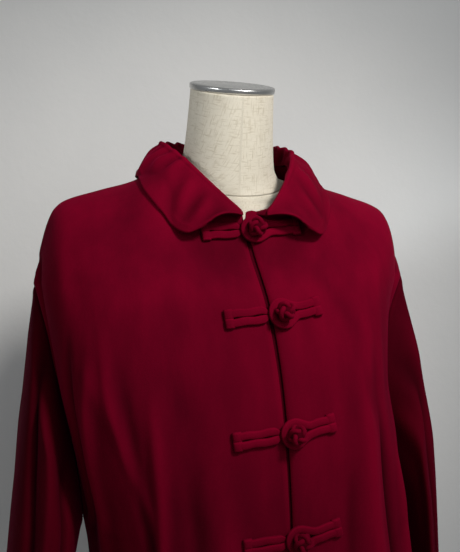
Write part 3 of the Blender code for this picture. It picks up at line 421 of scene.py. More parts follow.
def section(side, face, w, z):
    """x and y of the free-hanging cloth, at a share w of the way from its middle edge to its seam."""
    start = middle_x(side, face, z)
    middle = BODY_AT[FACE_NAME[face] + "_mid"](z)
    out = side * BODY_AT[SIDE_NAME[side]](z)
    end = np.radians(BODY_AT["turn"](z))

    def free(angle):
        x = start + (out - start) * power_of(np.sin(angle), SECTION_POWER)
        return x, middle + (BODY_AT[FACE_NAME[face]](z) - middle) * power_of(np.cos(angle), SECTION_POWER)

    x, y = free(w * end)
    end_x, end_y = free(end)
    push = folds(side, face, w, z) * (1 - w**SEAM_PULL) + pushed(CREASES, side, face, w, z, 0.05) * (1 - w**30)
    seam_x, seam_y = seam_point(side, face, z)
    pull = w**SEAM_PULL
    x = x + side * np.sin(w * end) * push + (seam_x - end_x) * pull
    return x, y + face * np.cos(w * end) * push + (seam_y - end_y) * pull


def neckline(side, face, share):
    """A point of the neckline, from the middle of the front or back (share 0) to the shoulder (share 1)."""
    angle = share * math.pi / 2
    if face == FRONT:
        start = middle_x(side, face, NECK_SIDE_Z - NECK_FRONT_DROP)
        y = -NECK_FRONT * np.cos(angle)
        z = NECK_SIDE_Z - NECK_FRONT_DROP * np.cos(angle) ** 1.9
    else:
        start = 0.0
        y = NECK_BACK * np.cos(angle)
        z = NECK_SIDE_Z + NECK_BACK_RISE * np.cos(angle)
    x = start + (side * NECK_HALF - start) * np.sin(angle)
    return np.stack(np.broadcast_arrays(x, y, z), axis=-1)


def shoulder_line(side, share):
    """A point of the shoulder seam, from the neck (share 0) to the top of the armhole (share 1)."""
    points = np.array(SHOULDER + ((ARM_TOP_X[side], ARM_TOP_Z[side]),))
    along = np.concatenate([[0], np.cumsum(np.linalg.norm(np.diff(points, axis=0), axis=1))])
    table = (("share", "x", "z"), tuple(zip(along / along[-1], points[:, 0], points[:, 1])))
    return np.stack([side * column(table, "x")(share), 0 * share, column(table, "z")(share)], axis=-1)


def top_edge(side, face, u):
    """Where the panel's columns start: along the neckline, then along the shoulder seam."""
    at_neck = neckline(side, face, np.minimum(u / NECK_SHARE, 1.0))
    on_shoulder = shoulder_line(side, np.clip((u - NECK_SHARE) / (1 - NECK_SHARE), 0.0, 1.0))
    return np.where((u < NECK_SHARE)[..., None], at_neck, on_shoulder)


def panel(side, face, u, rows_arm, rows_side):
    """A half front or half back as rows of points, from its top edge to the hem."""
    top = top_edge(side, face, u)
    arm = np.arange(rows_arm + 1) / rows_arm
    arm_z = UNDERARM_Z + (ARM_TOP_Z[side] - UNDERARM_Z) * (1 + np.cos(math.pi * arm)) / 2
    side_z = UNDERARM_Z + (HEM_Z - UNDERARM_Z) * np.arange(1, rows_side + 1) / rows_side
    edge_z = np.concatenate([arm_z, side_z])
    edge_share = (ARM_TOP_Z[side] - edge_z) / (ARM_TOP_Z[side] - HEM_Z)
    even_share = (np.arange(len(edge_z)) / (len(edge_z) - 1)) ** 1.25
    follow = u**3
    share = even_share[:, None] * (1 - follow) + edge_share[:, None] * follow
    z = top[None, :, 2] - (top[None, :, 2] - HEM_Z) * share
    x, y = section(side, face, np.broadcast_to(u, z.shape), z)
    turned_over = SHOULDER_ROUND * np.maximum(1 - u**4, 1e-6)
    drop = np.clip((top[None, :, 2] - z) / turned_over, 0.0, 1.0)
    out = (1 - (1 - drop) ** 2) ** 0.62
    x = top[None, :, 0] + (x - top[None, :, 0]) * out
    y = top[None, :, 1] + (y - top[None, :, 1]) * out
    return np.stack([x, y, z], axis=-1)


def panel_columns():
    """The shares at which a panel's columns stand, closer together at the neck."""
    neck = NECK_SHARE * np.arange(NECK_COLUMNS) / NECK_COLUMNS
    shoulder = NECK_SHARE + (1 - NECK_SHARE) * np.arange(SHOULDER_COLUMNS + 1) / SHOULDER_COLUMNS
    return np.concatenate([neck, shoulder])


def armhole(side, turn):
    """A point of the armhole seam: turn 0 at the underarm, 0.25 in front, 0.5 at the top, 0.75 behind."""
    angle = 2 * math.pi * turn
    share = (1 - np.cos(angle)) / 2
    z = UNDERARM_Z + (ARM_TOP_Z[side] - UNDERARM_Z) * share
    x = side * ARMHOLE_AT[SIDE_NAME[side]](share)
    return np.stack([x, -ARM_HALF_DEPTH * np.sin(angle), z], axis=-1)


def sleeve_section(side, turn, z):
    """x and y of the free-hanging sleeve."""
    name = SIDE_NAME[side]
    out, inner = SLEEVE_AT[name + "_out"](z), SLEEVE_AT[name + "_in"](z)
    front, back = SLEEVE_AT["front"](z), SLEEVE_AT["back"](z)
    angle = 2 * math.pi * turn
    push = 0.0007 * ripple(turn * 0.42, z * 0.25, 21 + side, 0.06)
    for fold_side, high, low, turn_high, turn_low, width, height in SLEEVE_FOLDS[1]:
        if fold_side == side:
            down = np.clip((high - z) / (high - low), 0.0, 1.0)
            where = turn_high + (turn_low - turn_high) * down + 0.006 * np.sin(z * 29 + turn_high * 50)
            push = push + height * fade(high - z, 0.0, FOLD_FADE) * np.exp(-(((turn - where) / width) ** 2))
    across = -power_of(np.cos(angle), SLEEVE_POWER)
    along = -power_of(np.sin(angle), SLEEVE_POWER)
    x = side * ((out + inner) / 2 + (out - inner) / 2 * across - np.cos(angle) * push)
    return x, (front + back) / 2 + (back - front) / 2 * along - np.sin(angle) * push


def sleeve(side, turns, rows):
    """A sleeve as closed rings of points, from the armhole seam to the cuff."""
    start = armhole(side, turns)
    share = (np.arange(rows + 1) / rows)[:, None] ** 1.15
    z = start[None, :, 2] - (start[None, :, 2] - CUFF_Z) * share
    x, y = sleeve_section(side, np.broadcast_to(turns, z.shape), z)
    drop = np.clip((start[None, :, 2] - z) / SLEEVE_ROUND, 0.0, 1.0)
    out = (1 - (1 - drop) ** 2) ** 0.7
    x = start[None, :, 0] + (x - start[None, :, 0]) * out
    y = start[None, :, 1] + (y - start[None, :, 1]) * out
    return np.stack([x, y, z], axis=-1)


# Turning grids of points into cloth

def grid_normals(points, outward):
    """Unit normals of a grid, turned to the side that the outward grid of directions points to."""
    normal = np.cross(np.gradient(points, axis=0), np.gradient(points, axis=1))
    normal = normal / np.maximum(np.linalg.norm(normal, axis=-1, keepdims=True), 1e-12)
    facing = np.sign((normal * outward).sum(-1, keepdims=True))
    return normal * np.where(facing == 0, 1, facing)


def panel_normals(name, points):
    """Outward unit normals of a panel or, for a sleeve, of its closed rings."""
    if name.startswith("sleeve"):
        wrapped = np.concatenate([points[:, -1:], points, points[:, :1]], axis=1)
        return grid_normals(wrapped, wrapped - points.mean(axis=1, keepdims=True))[:, 1:-1]
    hint = points.copy()
    hint[..., 2] = np.maximum(hint[..., 2] - 1.05, 0.0)
    return grid_normals(points, hint)


def share_seam_normals(grids, normals):
    """Points that panels share at a seam get one direction, so that the walls meet edge to edge."""
    together = {}
    for points, normal in zip(grids, normals):
        for point, direction in zip(points.reshape(-1, 3), normal.reshape(-1, 3)):
            key = tuple(np.round(point, 6) + 0.0)
            together[key] = together.get(key, 0) + direction
    for points, normal in zip(grids, normals):
        flat = normal.reshape(-1, 3)
        for i, point in enumerate(points.reshape(-1, 3)):
            total = together[tuple(np.round(point, 6) + 0.0)]
            flat[i] = total / max(np.linalg.norm(total), 1e-9)


def edge_distance(points, closed):
    """How far each point lies, over the cloth, from each of the grid's four edges, in metres."""
    down = np.linalg.norm(np.diff(points, axis=0), axis=-1)
    down = np.concatenate([np.zeros((1, points.shape[1])), np.cumsum(down, axis=0)])
    across = np.linalg.norm(np.diff(points, axis=1), axis=-1)
    across = np.concatenate([np.zeros((points.shape[0], 1)), np.cumsum(across, axis=1)], axis=1)
    far = np.full(down.shape, np.inf)
    return {
        "top": down,
        "bottom": down[-1:] - down,
        "start": far if closed else across,
        "end": far if closed else across[:, -1:] - across,
        "down": down,
        "across": across,
    }


def seam_relief(distance, depth):
    """A seam: the cloth dips into it and swells a little over the allowance behind."""
    dip = -depth * np.exp(-((distance / 0.0032) ** 2))
    return dip + 0.45 * depth * np.exp(-(((distance - 0.0085) / 0.0045) ** 2))


def rise_of(points, closed, reach=PAINTED_LIGHT_REACH):
    """How far each point stands from the smoothed cloth around it."""
    wide = points
    for _ in range(3):
        padded = np.pad(wide, ((reach, reach), (0, 0), (0, 0)), mode="reflect", reflect_type="odd")
        total = np.cumsum(np.concatenate([padded[:1] * 0, padded]), axis=0)
        wide = (total[2 * reach + 1 :] - total[: -2 * reach - 1]) / (2 * reach + 1)
        how = {"mode": "wrap"} if closed else {"mode": "reflect", "reflect_type": "odd"}
        padded = np.pad(wide, ((0, 0), (reach, reach), (0, 0)), **how)
        total = np.cumsum(np.concatenate([padded[:, :1] * 0, padded], axis=1), axis=1)
        wide = (total[:, 2 * reach + 1 :] - total[:, : -2 * reach - 1]) / (2 * reach + 1)
    return points - wide


def painted_light_share(points, normal, closed=False):
    """Painted light at each point, from how far it stands out of the smoothed cloth: painted highlight (1) on raised
    folds, 0.5 on flat cloth and painted shade (0) in hollows.
    """
    rise = (rise_of(points, closed) * normal).sum(-1)
    return np.clip(0.5 + 0.5 * rise / PAINTED_LIGHT_RISE, 0.0, 1.0)


def write_painted_light(mesh, share):
    """Keeps the painted light on the mesh as a point attribute, for the velvet to read."""
    painted_light = mesh.attributes.new("nap", "FLOAT", "POINT")
    painted_light.data.foreach_set("value", np.broadcast_to(np.asarray(share, float).ravel(), len(mesh.vertices)).copy())


def face_outwards(mesh):
    """Turns every face out of the solid and shades the mesh smooth."""
    shape = bmesh.new()
    shape.from_mesh(mesh)
    bmesh.ops.recalc_face_normals(shape, faces=shape.faces)
    if shape.calc_volume(signed=True) < 0:
        bmesh.ops.reverse_faces(shape, faces=shape.faces)
    shape.to_mesh(mesh)
    shape.free()
    mesh.shade_smooth()
    return mesh


def quads(rows, cols, closed=False, first=0):
    """The faces of a grid of points, row by row; a closed grid's rows are rings."""
    faces = []
    for r in range(rows - 1):
        for c in range(cols if closed else cols - 1):
            a, b = first + r * cols + c, first + r * cols + (c + 1) % cols
            faces.append((a, b, b + cols, a + cols))
    return faces


def mesh_of(name, points, faces, uv=None, nap=None):
    """A smooth-shaded mesh whose faces all point out of the solid."""
    mesh = bpy.data.meshes.new(name)
    mesh.from_pydata([tuple(map(float, p)) for p in points], [], faces)
    write_painted_light(mesh, FLAT_PAINTED_LIGHT if nap is None else nap)
    if uv is not None:
        layer = mesh.uv_layers.new(name="cloth")
        index = np.empty(len(mesh.loops), dtype=np.int32)
        mesh.loops.foreach_get("vertex_index", index)
        layer.data.foreach_set("uv", uv[index].astype(np.float32).ravel())
    return face_outwards(mesh)


def wall(name, outer, inner, closed=False, uv=None, nap=None):
    """A mesh between an outer and an inner grid of points, with its edges closed."""
    rows, cols = outer.shape[:2]
    points = np.concatenate([outer.reshape(-1, 3), inner.reshape(-1, 3)])
    far = rows * cols
    faces = []
    for a, b, c, d in quads(rows, cols, closed):
        faces += [(a, b, c, d), (d + far, c + far, b + far, a + far)]
    for r in (0, rows - 1):
        for c in range(cols if closed else cols - 1):
            a, b = r * cols + c, r * cols + (c + 1) % cols
            faces.append((a, b, b + far, a + far))
    if not closed:
        for c in (0, cols - 1):
            for r in range(rows - 1):
                a, b = r * cols + c, (r + 1) * cols + c
                faces.append((a, b, b + far, a + far))
    both = None if uv is None else np.concatenate([uv.reshape(-1, 2)] * 2)
    # The inner wall gets painted shade.
    painted_light = None if nap is None else np.concatenate([nap.ravel(), np.full(nap.size, INSIDE_PAINTED_SHADE)])
    return mesh_of(name, points, faces, both, painted_light)


def loft(name, rings, uv=None, nap=None):
    """A closed solid through rings of points, with flat ends."""
    count, size = rings.shape[:2]
    faces = [tuple(range(size)), tuple((count - 1) * size + i for i in range(size))]
    faces += quads(count, size, closed=True)
    return mesh_of(name, rings.reshape(-1, 3), faces, uv, nap)


def place_piece(name, mesh, looks):
    """Puts a finished mesh in the scene, on the body, in place of the CAD node of its name."""
    obj = bpy.data.objects.new(name, mesh)
    mesh.materials.clear()
    mesh.materials.append(looks)
    bpy.context.scene.collection.objects.link(obj)
    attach(obj, "root")
    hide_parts(name)
    return obj


class Shirt:
    """The shirt's panels, worked out once and shared by the pieces that lie on them."""

    grids, tree = None, None

    @classmethod
    def shape(cls):
        """The panels' grids of points, by piece."""
        if cls.grids is None:
            u = panel_columns()
            rows = (ARM_ROWS, SIDE_ROWS)
            grids = {
                "front_right": panel(RIGHT, FRONT, u, *rows),
                "front_left": panel(LEFT, FRONT, u, *rows),
            }
            back_right, back_left = panel(RIGHT, BACK, u, *rows), panel(LEFT, BACK, u, *rows)
            grids["back"] = np.concatenate([back_right[:, ::-1], back_left[:, 1:]], axis=1)
            turns = np.arange(2 * ARM_ROWS) / (2 * ARM_ROWS)
            for side in (RIGHT, LEFT):
                grids["sleeve_" + SIDE_NAME[side]] = sleeve(side, turns, SLEEVE_ROWS)
            cls.grids = grids
            cls.tree = cls.body_tree()
        return cls.grids

    @classmethod
    def body_tree(cls):
        """The outside of the fronts and the back, with the groove of the opening bridged."""
        fronts = np.concatenate([cls.grids["front_right"][:, ::-1], cls.grids["front_left"]], axis=1)
        points, faces = [], []
        for grid in (fronts, cls.grids["back"]):
            rows, cols = grid.shape[:2]
            faces += quads(rows, cols, first=len(points))
            points += [tuple(p) for p in grid.reshape(-1, 3)]
        return BVHTree.FromPolygons(points, faces)

    @classmethod
    def lift_off(cls, points, clear):
        """The points, moved out to at least a distance from the body's cloth."""
        moved = points.copy()
        for i in np.ndindex(points.shape[:-1]):
            near, normal = cls.tree.find_nearest(tuple(points[i]))[:2]
            near, normal = np.array(near), np.array(normal)
            if normal @ (near - BODY_CENTRE) < 0:
                normal = -normal
            gap = normal @ (points[i] - near)
            if gap < clear:
                moved[i] += normal * (clear - gap)
        return moved

    @classmethod
    def depth(cls, x, z):
        """The y of the fronts at x and z."""
        x, z = np.broadcast_arrays(np.asarray(x, float), np.asarray(z, float))
        found = np.empty(x.shape)
        for i in np.ndindex(x.shape):
            hit = cls.tree.ray_cast((x[i], -1.0, z[i]), (0.0, 1.0, 0.0))[0]
            found[i] = hit[1] if hit else cls.tree.find_nearest((x[i], -0.11, z[i]))[0][1]
        return found

    @classmethod
    def on_front(cls, origin_x, origin_z, along, across, lift):
        """Points over the fronts: along and across are measured on the cloth from a point of the opening."""
        x, z = np.broadcast_arrays(origin_x + along, origin_z + across)
        step = 0.004
        y = cls.depth(x, z)
        slope_x = (cls.depth(x + step, z) - cls.depth(x - step, z)) / (2 * step)
        slope_z = (cls.depth(x, z + step) - cls.depth(x, z - step)) / (2 * step)
        normal = np.stack(np.broadcast_arrays(slope_x, -1.0, slope_z), axis=-1)
        normal = normal / np.linalg.norm(normal, axis=-1, keepdims=True)
        return np.stack([x, y, z], axis=-1) + normal * np.asarray(lift)[..., None]


# Shader node groups and materials

def new_group(name, inputs, outputs):
    """A shader node group with its named sockets, and its input and output nodes."""
    group = bpy.data.node_groups.new(name, "ShaderNodeTree")
    for socket, kind, value in inputs:
        made = group.interface.new_socket(name=socket, in_out="INPUT", socket_type="NodeSocket" + kind)
        if value is not None:
            made.default_value = value
    for socket, kind in outputs:
        group.interface.new_socket(name=socket, in_out="OUTPUT", socket_type="NodeSocket" + kind)
    return group, group.nodes.new("NodeGroupInput"), group.nodes.new("NodeGroupOutput")


def fill(tree, socket, value):
    """Links a socket into an input, or sets the input to a plain value."""
    if isinstance(value, bpy.types.NodeSocket):
        tree.links.new(value, socket)
    else:
        socket.default_value = value


def node(tree, kind, values=(), **settings):
    """A node with its settings made and its inputs filled."""
    made = tree.nodes.new(kind)
    for key, value in settings.items():
        setattr(made, key, value)
    for key, value in dict(values).items():
        fill(tree, made.inputs[key], value)
    return made


def calc(tree, operation, *values):
    """The result of one sum."""
    return node(tree, "ShaderNodeMath", enumerate(values), operation=operation).outputs[0]


def weighed(tree, *terms):
    """The sum of (value, weight) terms."""
    total = None
    for value, weight in terms:
        part = calc(tree, "MULTIPLY", value, weight)
        total = part if total is None else calc(tree, "ADD", total, part)
    return total


def mix_colour(tree, factor, a, b):
    """Colour a where the factor is 0, and b where it is 1."""
    return node(tree, "ShaderNodeMix", {0: factor, 6: a, 7: b}, data_type="RGBA").outputs[2]


def grade(tree, factor, stops):
    """A ramp through (place, grey) stops."""
    ramp = tree.nodes.new("ShaderNodeValToRGB")
    while len(ramp.color_ramp.elements) < len(stops):
        ramp.color_ramp.elements.new(0.5)
    for element, (place, grey) in zip(ramp.color_ramp.elements, stops):
        element.position, element.color = place, (grey, grey, grey, 1)
    tree.links.new(factor, ramp.inputs[0])
    return ramp.outputs[0]


def noise(tree, vector, scale, detail=3.0, roughness=0.5):
    """Cloudy noise from 0 to 1."""
    values = {"Vector": vector, "Scale": scale, "Detail": detail, "Roughness": roughness}
    return node(tree, "ShaderNodeTexNoise", values).outputs["Fac"]


def stretched(tree, vector, scale):
    """A place multiplied along each axis, so that a pattern runs longer or shorter there."""
    return node(tree, "ShaderNodeMapping", {"Vector": vector, "Scale": scale}).outputs[0]


def bumped(tree, height, distance, strength):
    """A normal from a height."""
    return node(tree, "ShaderNodeBump", {"Distance": distance, "Height": height, "Strength": strength}).outputs[0]


def give(group, result, colour, roughness, normal):
    """Joins a finish to its group's outputs."""
    for name, value in (("Colour", colour), ("Roughness", roughness), ("Normal", normal)):
        group.links.new(value, result.inputs[name])
    return group


def pile_group():
    """Velvet's pile: where it lies the other way, where it is pressed, and its fine fuzz; painted highlight on raised
    folds and painted shade, near black, in hollows.
    """
    group, given, result = new_group(
        "velvet pile",
        (("Colour", "Color", None), ("Lit Colour", "Color", None), ("Nap", "Float", 0.3), ("Fuzz", "Float", 0.2)),
        (("Colour", "Color"), ("Roughness", "Float"), ("Normal", "Vector")),
    )
    place = node(group, "ShaderNodeTexCoord").outputs["Object"]
    broad = noise(group, stretched(group, place, (1.0, 1.0, 0.45)), 9.0, 3.0)
    broad = grade(group, broad, ((0.34, 0.0), (0.66, 1.0)))
    pressed = noise(group, stretched(group, place, (1.0, 1.0, 0.30)), 46.0, 4.0, 0.6)
    pressed = grade(group, pressed, ((0.40, 0.0), (0.72, 1.0)))
    fuzz = noise(group, place, 1500.0, 2.0, 0.7)
    short = noise(group, place, 420.0, 2.0, 0.6)
    painted_light = node(group, "ShaderNodeAttribute", attribute_name="nap").outputs["Fac"]
    ridge_highlight = calc(group, "MAXIMUM", calc(group, "SUBTRACT", painted_light, 0.5), 0.0)
    trough_shade = calc(group, "MAXIMUM", calc(group, "SUBTRACT", 0.5, painted_light), 0.0)
    # The lit colour comes with the pile's random patches, pressed spots and fuzz, and as painted highlight on raised
    # folds.
    lean = weighed(group, (broad, given.outputs["Nap"]), (ridge_highlight, 1.1), (pressed, 0.22), (fuzz, 0.16))
    colour = mix_colour(group, lean, given.outputs["Colour"], given.outputs["Lit Colour"])
    # Painted shade: hollows turn near black.
    colour = mix_colour(group, calc(group, "MULTIPLY", trough_shade, 1.5), colour, (0.008, 0.0, 0.001, 1))
    height = weighed(group, (fuzz, 0.5), (short, 0.6), (pressed, 0.5))
    normal = bumped(group, height, 0.0009, given.outputs["Fuzz"])
    return give(group, result, colour, calc(group, "MULTIPLY_ADD", fuzz, 0.14, 0.80), normal)


def weave_group():
    """Plain-woven linen: crossing threads, thick slubs and flecks."""
    group, given, result = new_group(
        "linen weave",
        (
            ("Colour", "Color", None), ("Fleck Colour", "Color", None),
            ("Thread", "Float", 0.0007), ("Relief", "Float", 0.5),
        ),
        (("Colour", "Color"), ("Roughness", "Float"), ("Normal", "Vector")),
    )
    place = node(group, "ShaderNodeUVMap", uv_map="cloth").outputs[0]
    apart = node(group, "ShaderNodeSeparateXYZ", {0: place})
    rate = calc(group, "DIVIDE", math.pi, given.outputs["Thread"])
    wander = noise(group, place, 160.0, 2.0)
    warp = calc(group, "SINE", weighed(group, (apart.outputs[0], rate), (wander, 2.4)))
    weft = calc(group, "SINE", weighed(group, (apart.outputs[1], rate), (wander, 2.4)))
    threads = calc(group, "MULTIPLY", calc(group, "ABSOLUTE", warp), calc(group, "ABSOLUTE", weft))
    slub_across = noise(group, stretched(group, place, (70.0, 620.0, 1.0)), 1.0, 3.0, 0.6)
    slub_up = noise(group, stretched(group, place, (620.0, 70.0, 1.0)), 1.0, 3.0, 0.6)
    slub = calc(group, "MAXIMUM", slub_across, slub_up)
    fleck = grade(group, slub, ((0.54, 0.0), (0.68, 1.0)))
    cloud = noise(group, place, 30.0, 3.0)
    dark = given.outputs["Fleck Colour"]
    colour = mix_colour(group, calc(group, "MULTIPLY", fleck, 0.55), given.outputs["Colour"], dark)
    colour = mix_colour(group, calc(group, "MULTIPLY", cloud, 0.25), colour, dark)
    height = calc(group, "ADD", threads, calc(group, "MULTIPLY", fleck, 0.9))
    normal = bumped(group, height, 0.0003, given.outputs["Relief"])
    return give(group, result, colour, calc(group, "MULTIPLY_ADD", threads, -0.1, 0.95), normal)


def wear_group():
    """Handled metal or enamel: clouds of dulled finish, fine scratches and specks."""
    group, given, result = new_group(
        "handled finish",
        (
            ("Colour", "Color", None), ("Dull Colour", "Color", None),
            ("Roughness", "Float", 0.2), ("Wear", "Float", 0.5),
        ),
        (("Colour", "Color"), ("Roughness", "Float"), ("Normal", "Vector")),
    )
    place = node(group, "ShaderNodeTexCoord").outputs["Object"]
    cloud = grade(group, noise(group, place, 24.0, 4.0, 0.6), ((0.35, 0.0), (0.75, 1.0)))
    scratch = noise(group, stretched(group, place, (40.0, 900.0, 900.0)), 1.0, 2.0)
    scratch = grade(group, scratch, ((0.62, 0.0), (0.70, 1.0)))
    wear = calc(group, "MULTIPLY", weighed(group, (cloud, 0.6), (scratch, 0.5)), given.outputs["Wear"])
    colour = mix_colour(group, wear, given.outputs["Colour"], given.outputs["Dull Colour"])
    rough = calc(group, "ADD", given.outputs["Roughness"], calc(group, "MULTIPLY", wear, 0.3))
    normal = bumped(group, scratch, 0.0002, calc(group, "MULTIPLY", given.outputs["Wear"], 0.2))
    return give(group, result, colour, rough, normal)


class Finishes:
    """The materials, each made once from a shared node group."""

    groups, made = {}, {}
    makers = {"pile": pile_group, "weave": weave_group, "wear": wear_group}

    @classmethod
    def group(cls, name):
        """A node group, built at its first use."""
        if name not in cls.groups:
            cls.groups[name] = cls.makers[name]()
        return cls.groups[name]

    @classmethod
    def get(cls, name, group, inputs, shader, rim=0.0):
        """A material with a group's pattern and the shader's own constants; rim paints a sheen, turning the colour
        towards the lit colour on edges seen aslant.
        """
        if name not in cls.made:
            made = bpy.data.materials.new(name)
            made.use_nodes = True
            tree = made.node_tree
            principled = tree.nodes["Principled BSDF"]
            pattern = tree.nodes.new("ShaderNodeGroup")
            pattern.node_tree = cls.group(group)
            for key, value in inputs.items():
                pattern.inputs[key].default_value = (*value, 1) if hasattr(value, "__len__") else value
            for key, value in shader.items():
                principled.inputs[key].default_value = value
            colour = pattern.outputs["Colour"]
            # Painted sheen: the colour turns towards the lit colour where the surface is seen aslant.
            if rim:
                aslant = node(tree, "ShaderNodeLayerWeight", {"Blend": 0.30}).outputs["Facing"]
                share = calc(tree, "MULTIPLY", calc(tree, "POWER", aslant, 2.5), rim)
                colour = mix_colour(tree, share, colour, pattern.inputs["Lit Colour"].default_value[:])
            tree.links.new(colour, principled.inputs["Base Color"])
            tree.links.new(pattern.outputs["Roughness"], principled.inputs["Roughness"])
            tree.links.new(pattern.outputs["Normal"], principled.inputs["Normal"])
            cls.made[name] = made
        return cls.made[name]


def velvet(name="crimson velvet", nap=0.35, fuzz=0.35, rim=0.25, painted_shade_tone=1.0):
    """Velvet; the tone darkens both its colours for a piece, as painted shade on the sleeves, and rim paints a sheen on
    edges seen aslant.
    """
    looks = bpy.context.scene.shirt_finish
    deep, lit = (tuple(painted_shade_tone * c for c in colour) for colour in (looks.velvet_deep, looks.velvet_lit))
    inputs = {"Colour": deep, "Lit Colour": lit, "Nap": nap, "Fuzz": fuzz}
    shader = {
        "Sheen Weight": looks.sheen,
        "Sheen Roughness": 0.32,
        "Sheen Tint": (*looks.sheen_tint, 1),
        "Specular IOR Level": 0.02,
    }
    return Finishes.get(name, "pile", inputs, shader, rim)


def cord_velvet():
    """The same velvet on the frogs' cords, where the pile stands open, with a strong painted sheen on edges seen
    aslant.
    """
    return velvet("cord velvet", 0.6, 0.6, 0.9)


def linen():
    """The form's plain-woven cover."""
    looks = bpy.context.scene.shirt_finish
    inputs = {"Colour": looks.linen, "Fleck Colour": looks.linen_fleck, "Thread": 0.0008, "Relief": 0.55}
    return Finishes.get("linen cover", "weave", inputs, {"Sheen Weight": 0.15, "Specular IOR Level": 0.2})


def steel(name="polished steel", roughness=0.2):
    """The cap's and the pole's metal."""
    looks = bpy.context.scene.shirt_finish
    dull = tuple(0.75 * c for c in looks.steel)
    inputs = {"Colour": looks.steel, "Dull Colour": dull, "Roughness": roughness, "Wear": 0.5}
    return Finishes.get(name, "wear", inputs, {"Metallic": 1.0})


def enamel():
    """The base's satin enamel."""
    looks = bpy.context.scene.shirt_finish
    dull = tuple(0.8 * c for c in looks.enamel)
    inputs = {"Colour": looks.enamel, "Dull Colour": dull, "Roughness": 0.38, "Wear": 0.4}
    return Finishes.get("base enamel", "wear", inputs, {"Coat Weight": 0.3, "Coat Roughness": 0.2})


# Settings that a user can change

def amount_of(name, description, default, low, high, **more):
    """A number that a user can change."""
    return FloatProperty(name=name, description=description, default=default, min=low, max=high, **more)


def length_of(name, description, default, low, high):
    """A length that a user can change, in metres."""
    return amount_of(name, description, default, low, high, unit="LENGTH")


def colour_of(name, description, default):
    """A colour that a user can change."""
    return FloatVectorProperty(
        name=name, description=description, default=default, subtype="COLOR", size=3, min=0, max=1
    )


class ShirtSizes(bpy.types.PropertyGroup):
    """The shirt's sizes"""

    wall: length_of("Cloth", "Thickness of one layer of velvet", 0.0016, 0.001, 0.003)
    hem: length_of("Hem", "Height of the turned hem and cuffs", 0.028, 0.01, 0.06)
    seam: length_of("Seam depth", "How far the cloth dips into a seam", 0.0012, 0.0, 0.003)


class FrogSizes(bpy.types.PropertyGroup):
    """The frog fasteners' sizes"""

    cord: length_of("Cord width", "Width of each velvet cord", 0.0086, 0.005, 0.012)
    cord_height: length_of("Cord height", "Height of each velvet cord", 0.0052, 0.003, 0.008)
    loop_radius: length_of("Loop", "Radius of the loop at its cord's middle", 0.0118, 0.009, 0.016)
    ball_radius: length_of("Ball", "Radius of the knotted ball", 0.0120, 0.008, 0.014)
    knot_cord: length_of("Knot cord", "Thickness of the cord that the ball is knotted from", 0.0050, 0.003, 0.007)
    bights: IntProperty(
        name="Bights", description="How many times the ball's cord turns back at its edge", default=4, min=3, max=6
    )


class ShirtFinish(bpy.types.PropertyGroup):
    """The colours of the cloth, the form and the stand"""

    velvet_deep: colour_of("Velvet", "Colour of the pile seen end on", (0.066, 0.0001, 0.0062))
    velvet_lit: colour_of(
        "Velvet, lit", "Colour of the pile where it leans towards the light",
        (0.160, 0.0004, 0.0125),
    )
    sheen: amount_of("Sheen", "Strength of the light caught by the pile's tips", 0.20, 0, 1)
    sheen_tint: colour_of("Sheen colour", "Colour of the light caught by the pile's tips", (0.60, 0.004, 0.10))
    linen: colour_of("Linen", "Colour of the form's cover", (0.68, 0.63, 0.52))
    linen_fleck: colour_of("Linen flecks", "Colour of the thick darker threads", (0.37, 0.30, 0.19))
    steel: colour_of("Steel", "Colour of the cap and the pole", (0.60, 0.59, 0.57))
    enamel: colour_of("Base", "Colour of the stand's base", (0.74, 0.72, 0.68))


class StageSettings(bpy.types.PropertyGroup):
    """The camera, the backdrop and the lights"""

    azimuth: amount_of("Camera side", "How far the camera stands round to the wearer's right", 15.0, -180, 180)
    distance: length_of("Camera distance", "From the form's axis to the camera", 1.15, 0.5, 6)
    height: length_of("Camera height", "Height of the level camera", 1.20, 0, 3)
    lens: amount_of("Lens", "Focal length on a 36 mm frame, in millimetres", 63.0, 20, 200)
    wall_gap: length_of("Wall", "How far the backdrop stands behind the form", 0.42, 0.3, 3)
    key: amount_of("Key light", "Power of the soft spot aimed at the neck and chest, in watts", 116.0, 0, 500)
    edge: amount_of("Edge light", "Power of the small light beside the neck, in watts", 44.0, 0, 100)
    fill: amount_of("Fill light", "Power of the wide light in front, in watts", 9.0, 0, 500)


# The shirt's panels


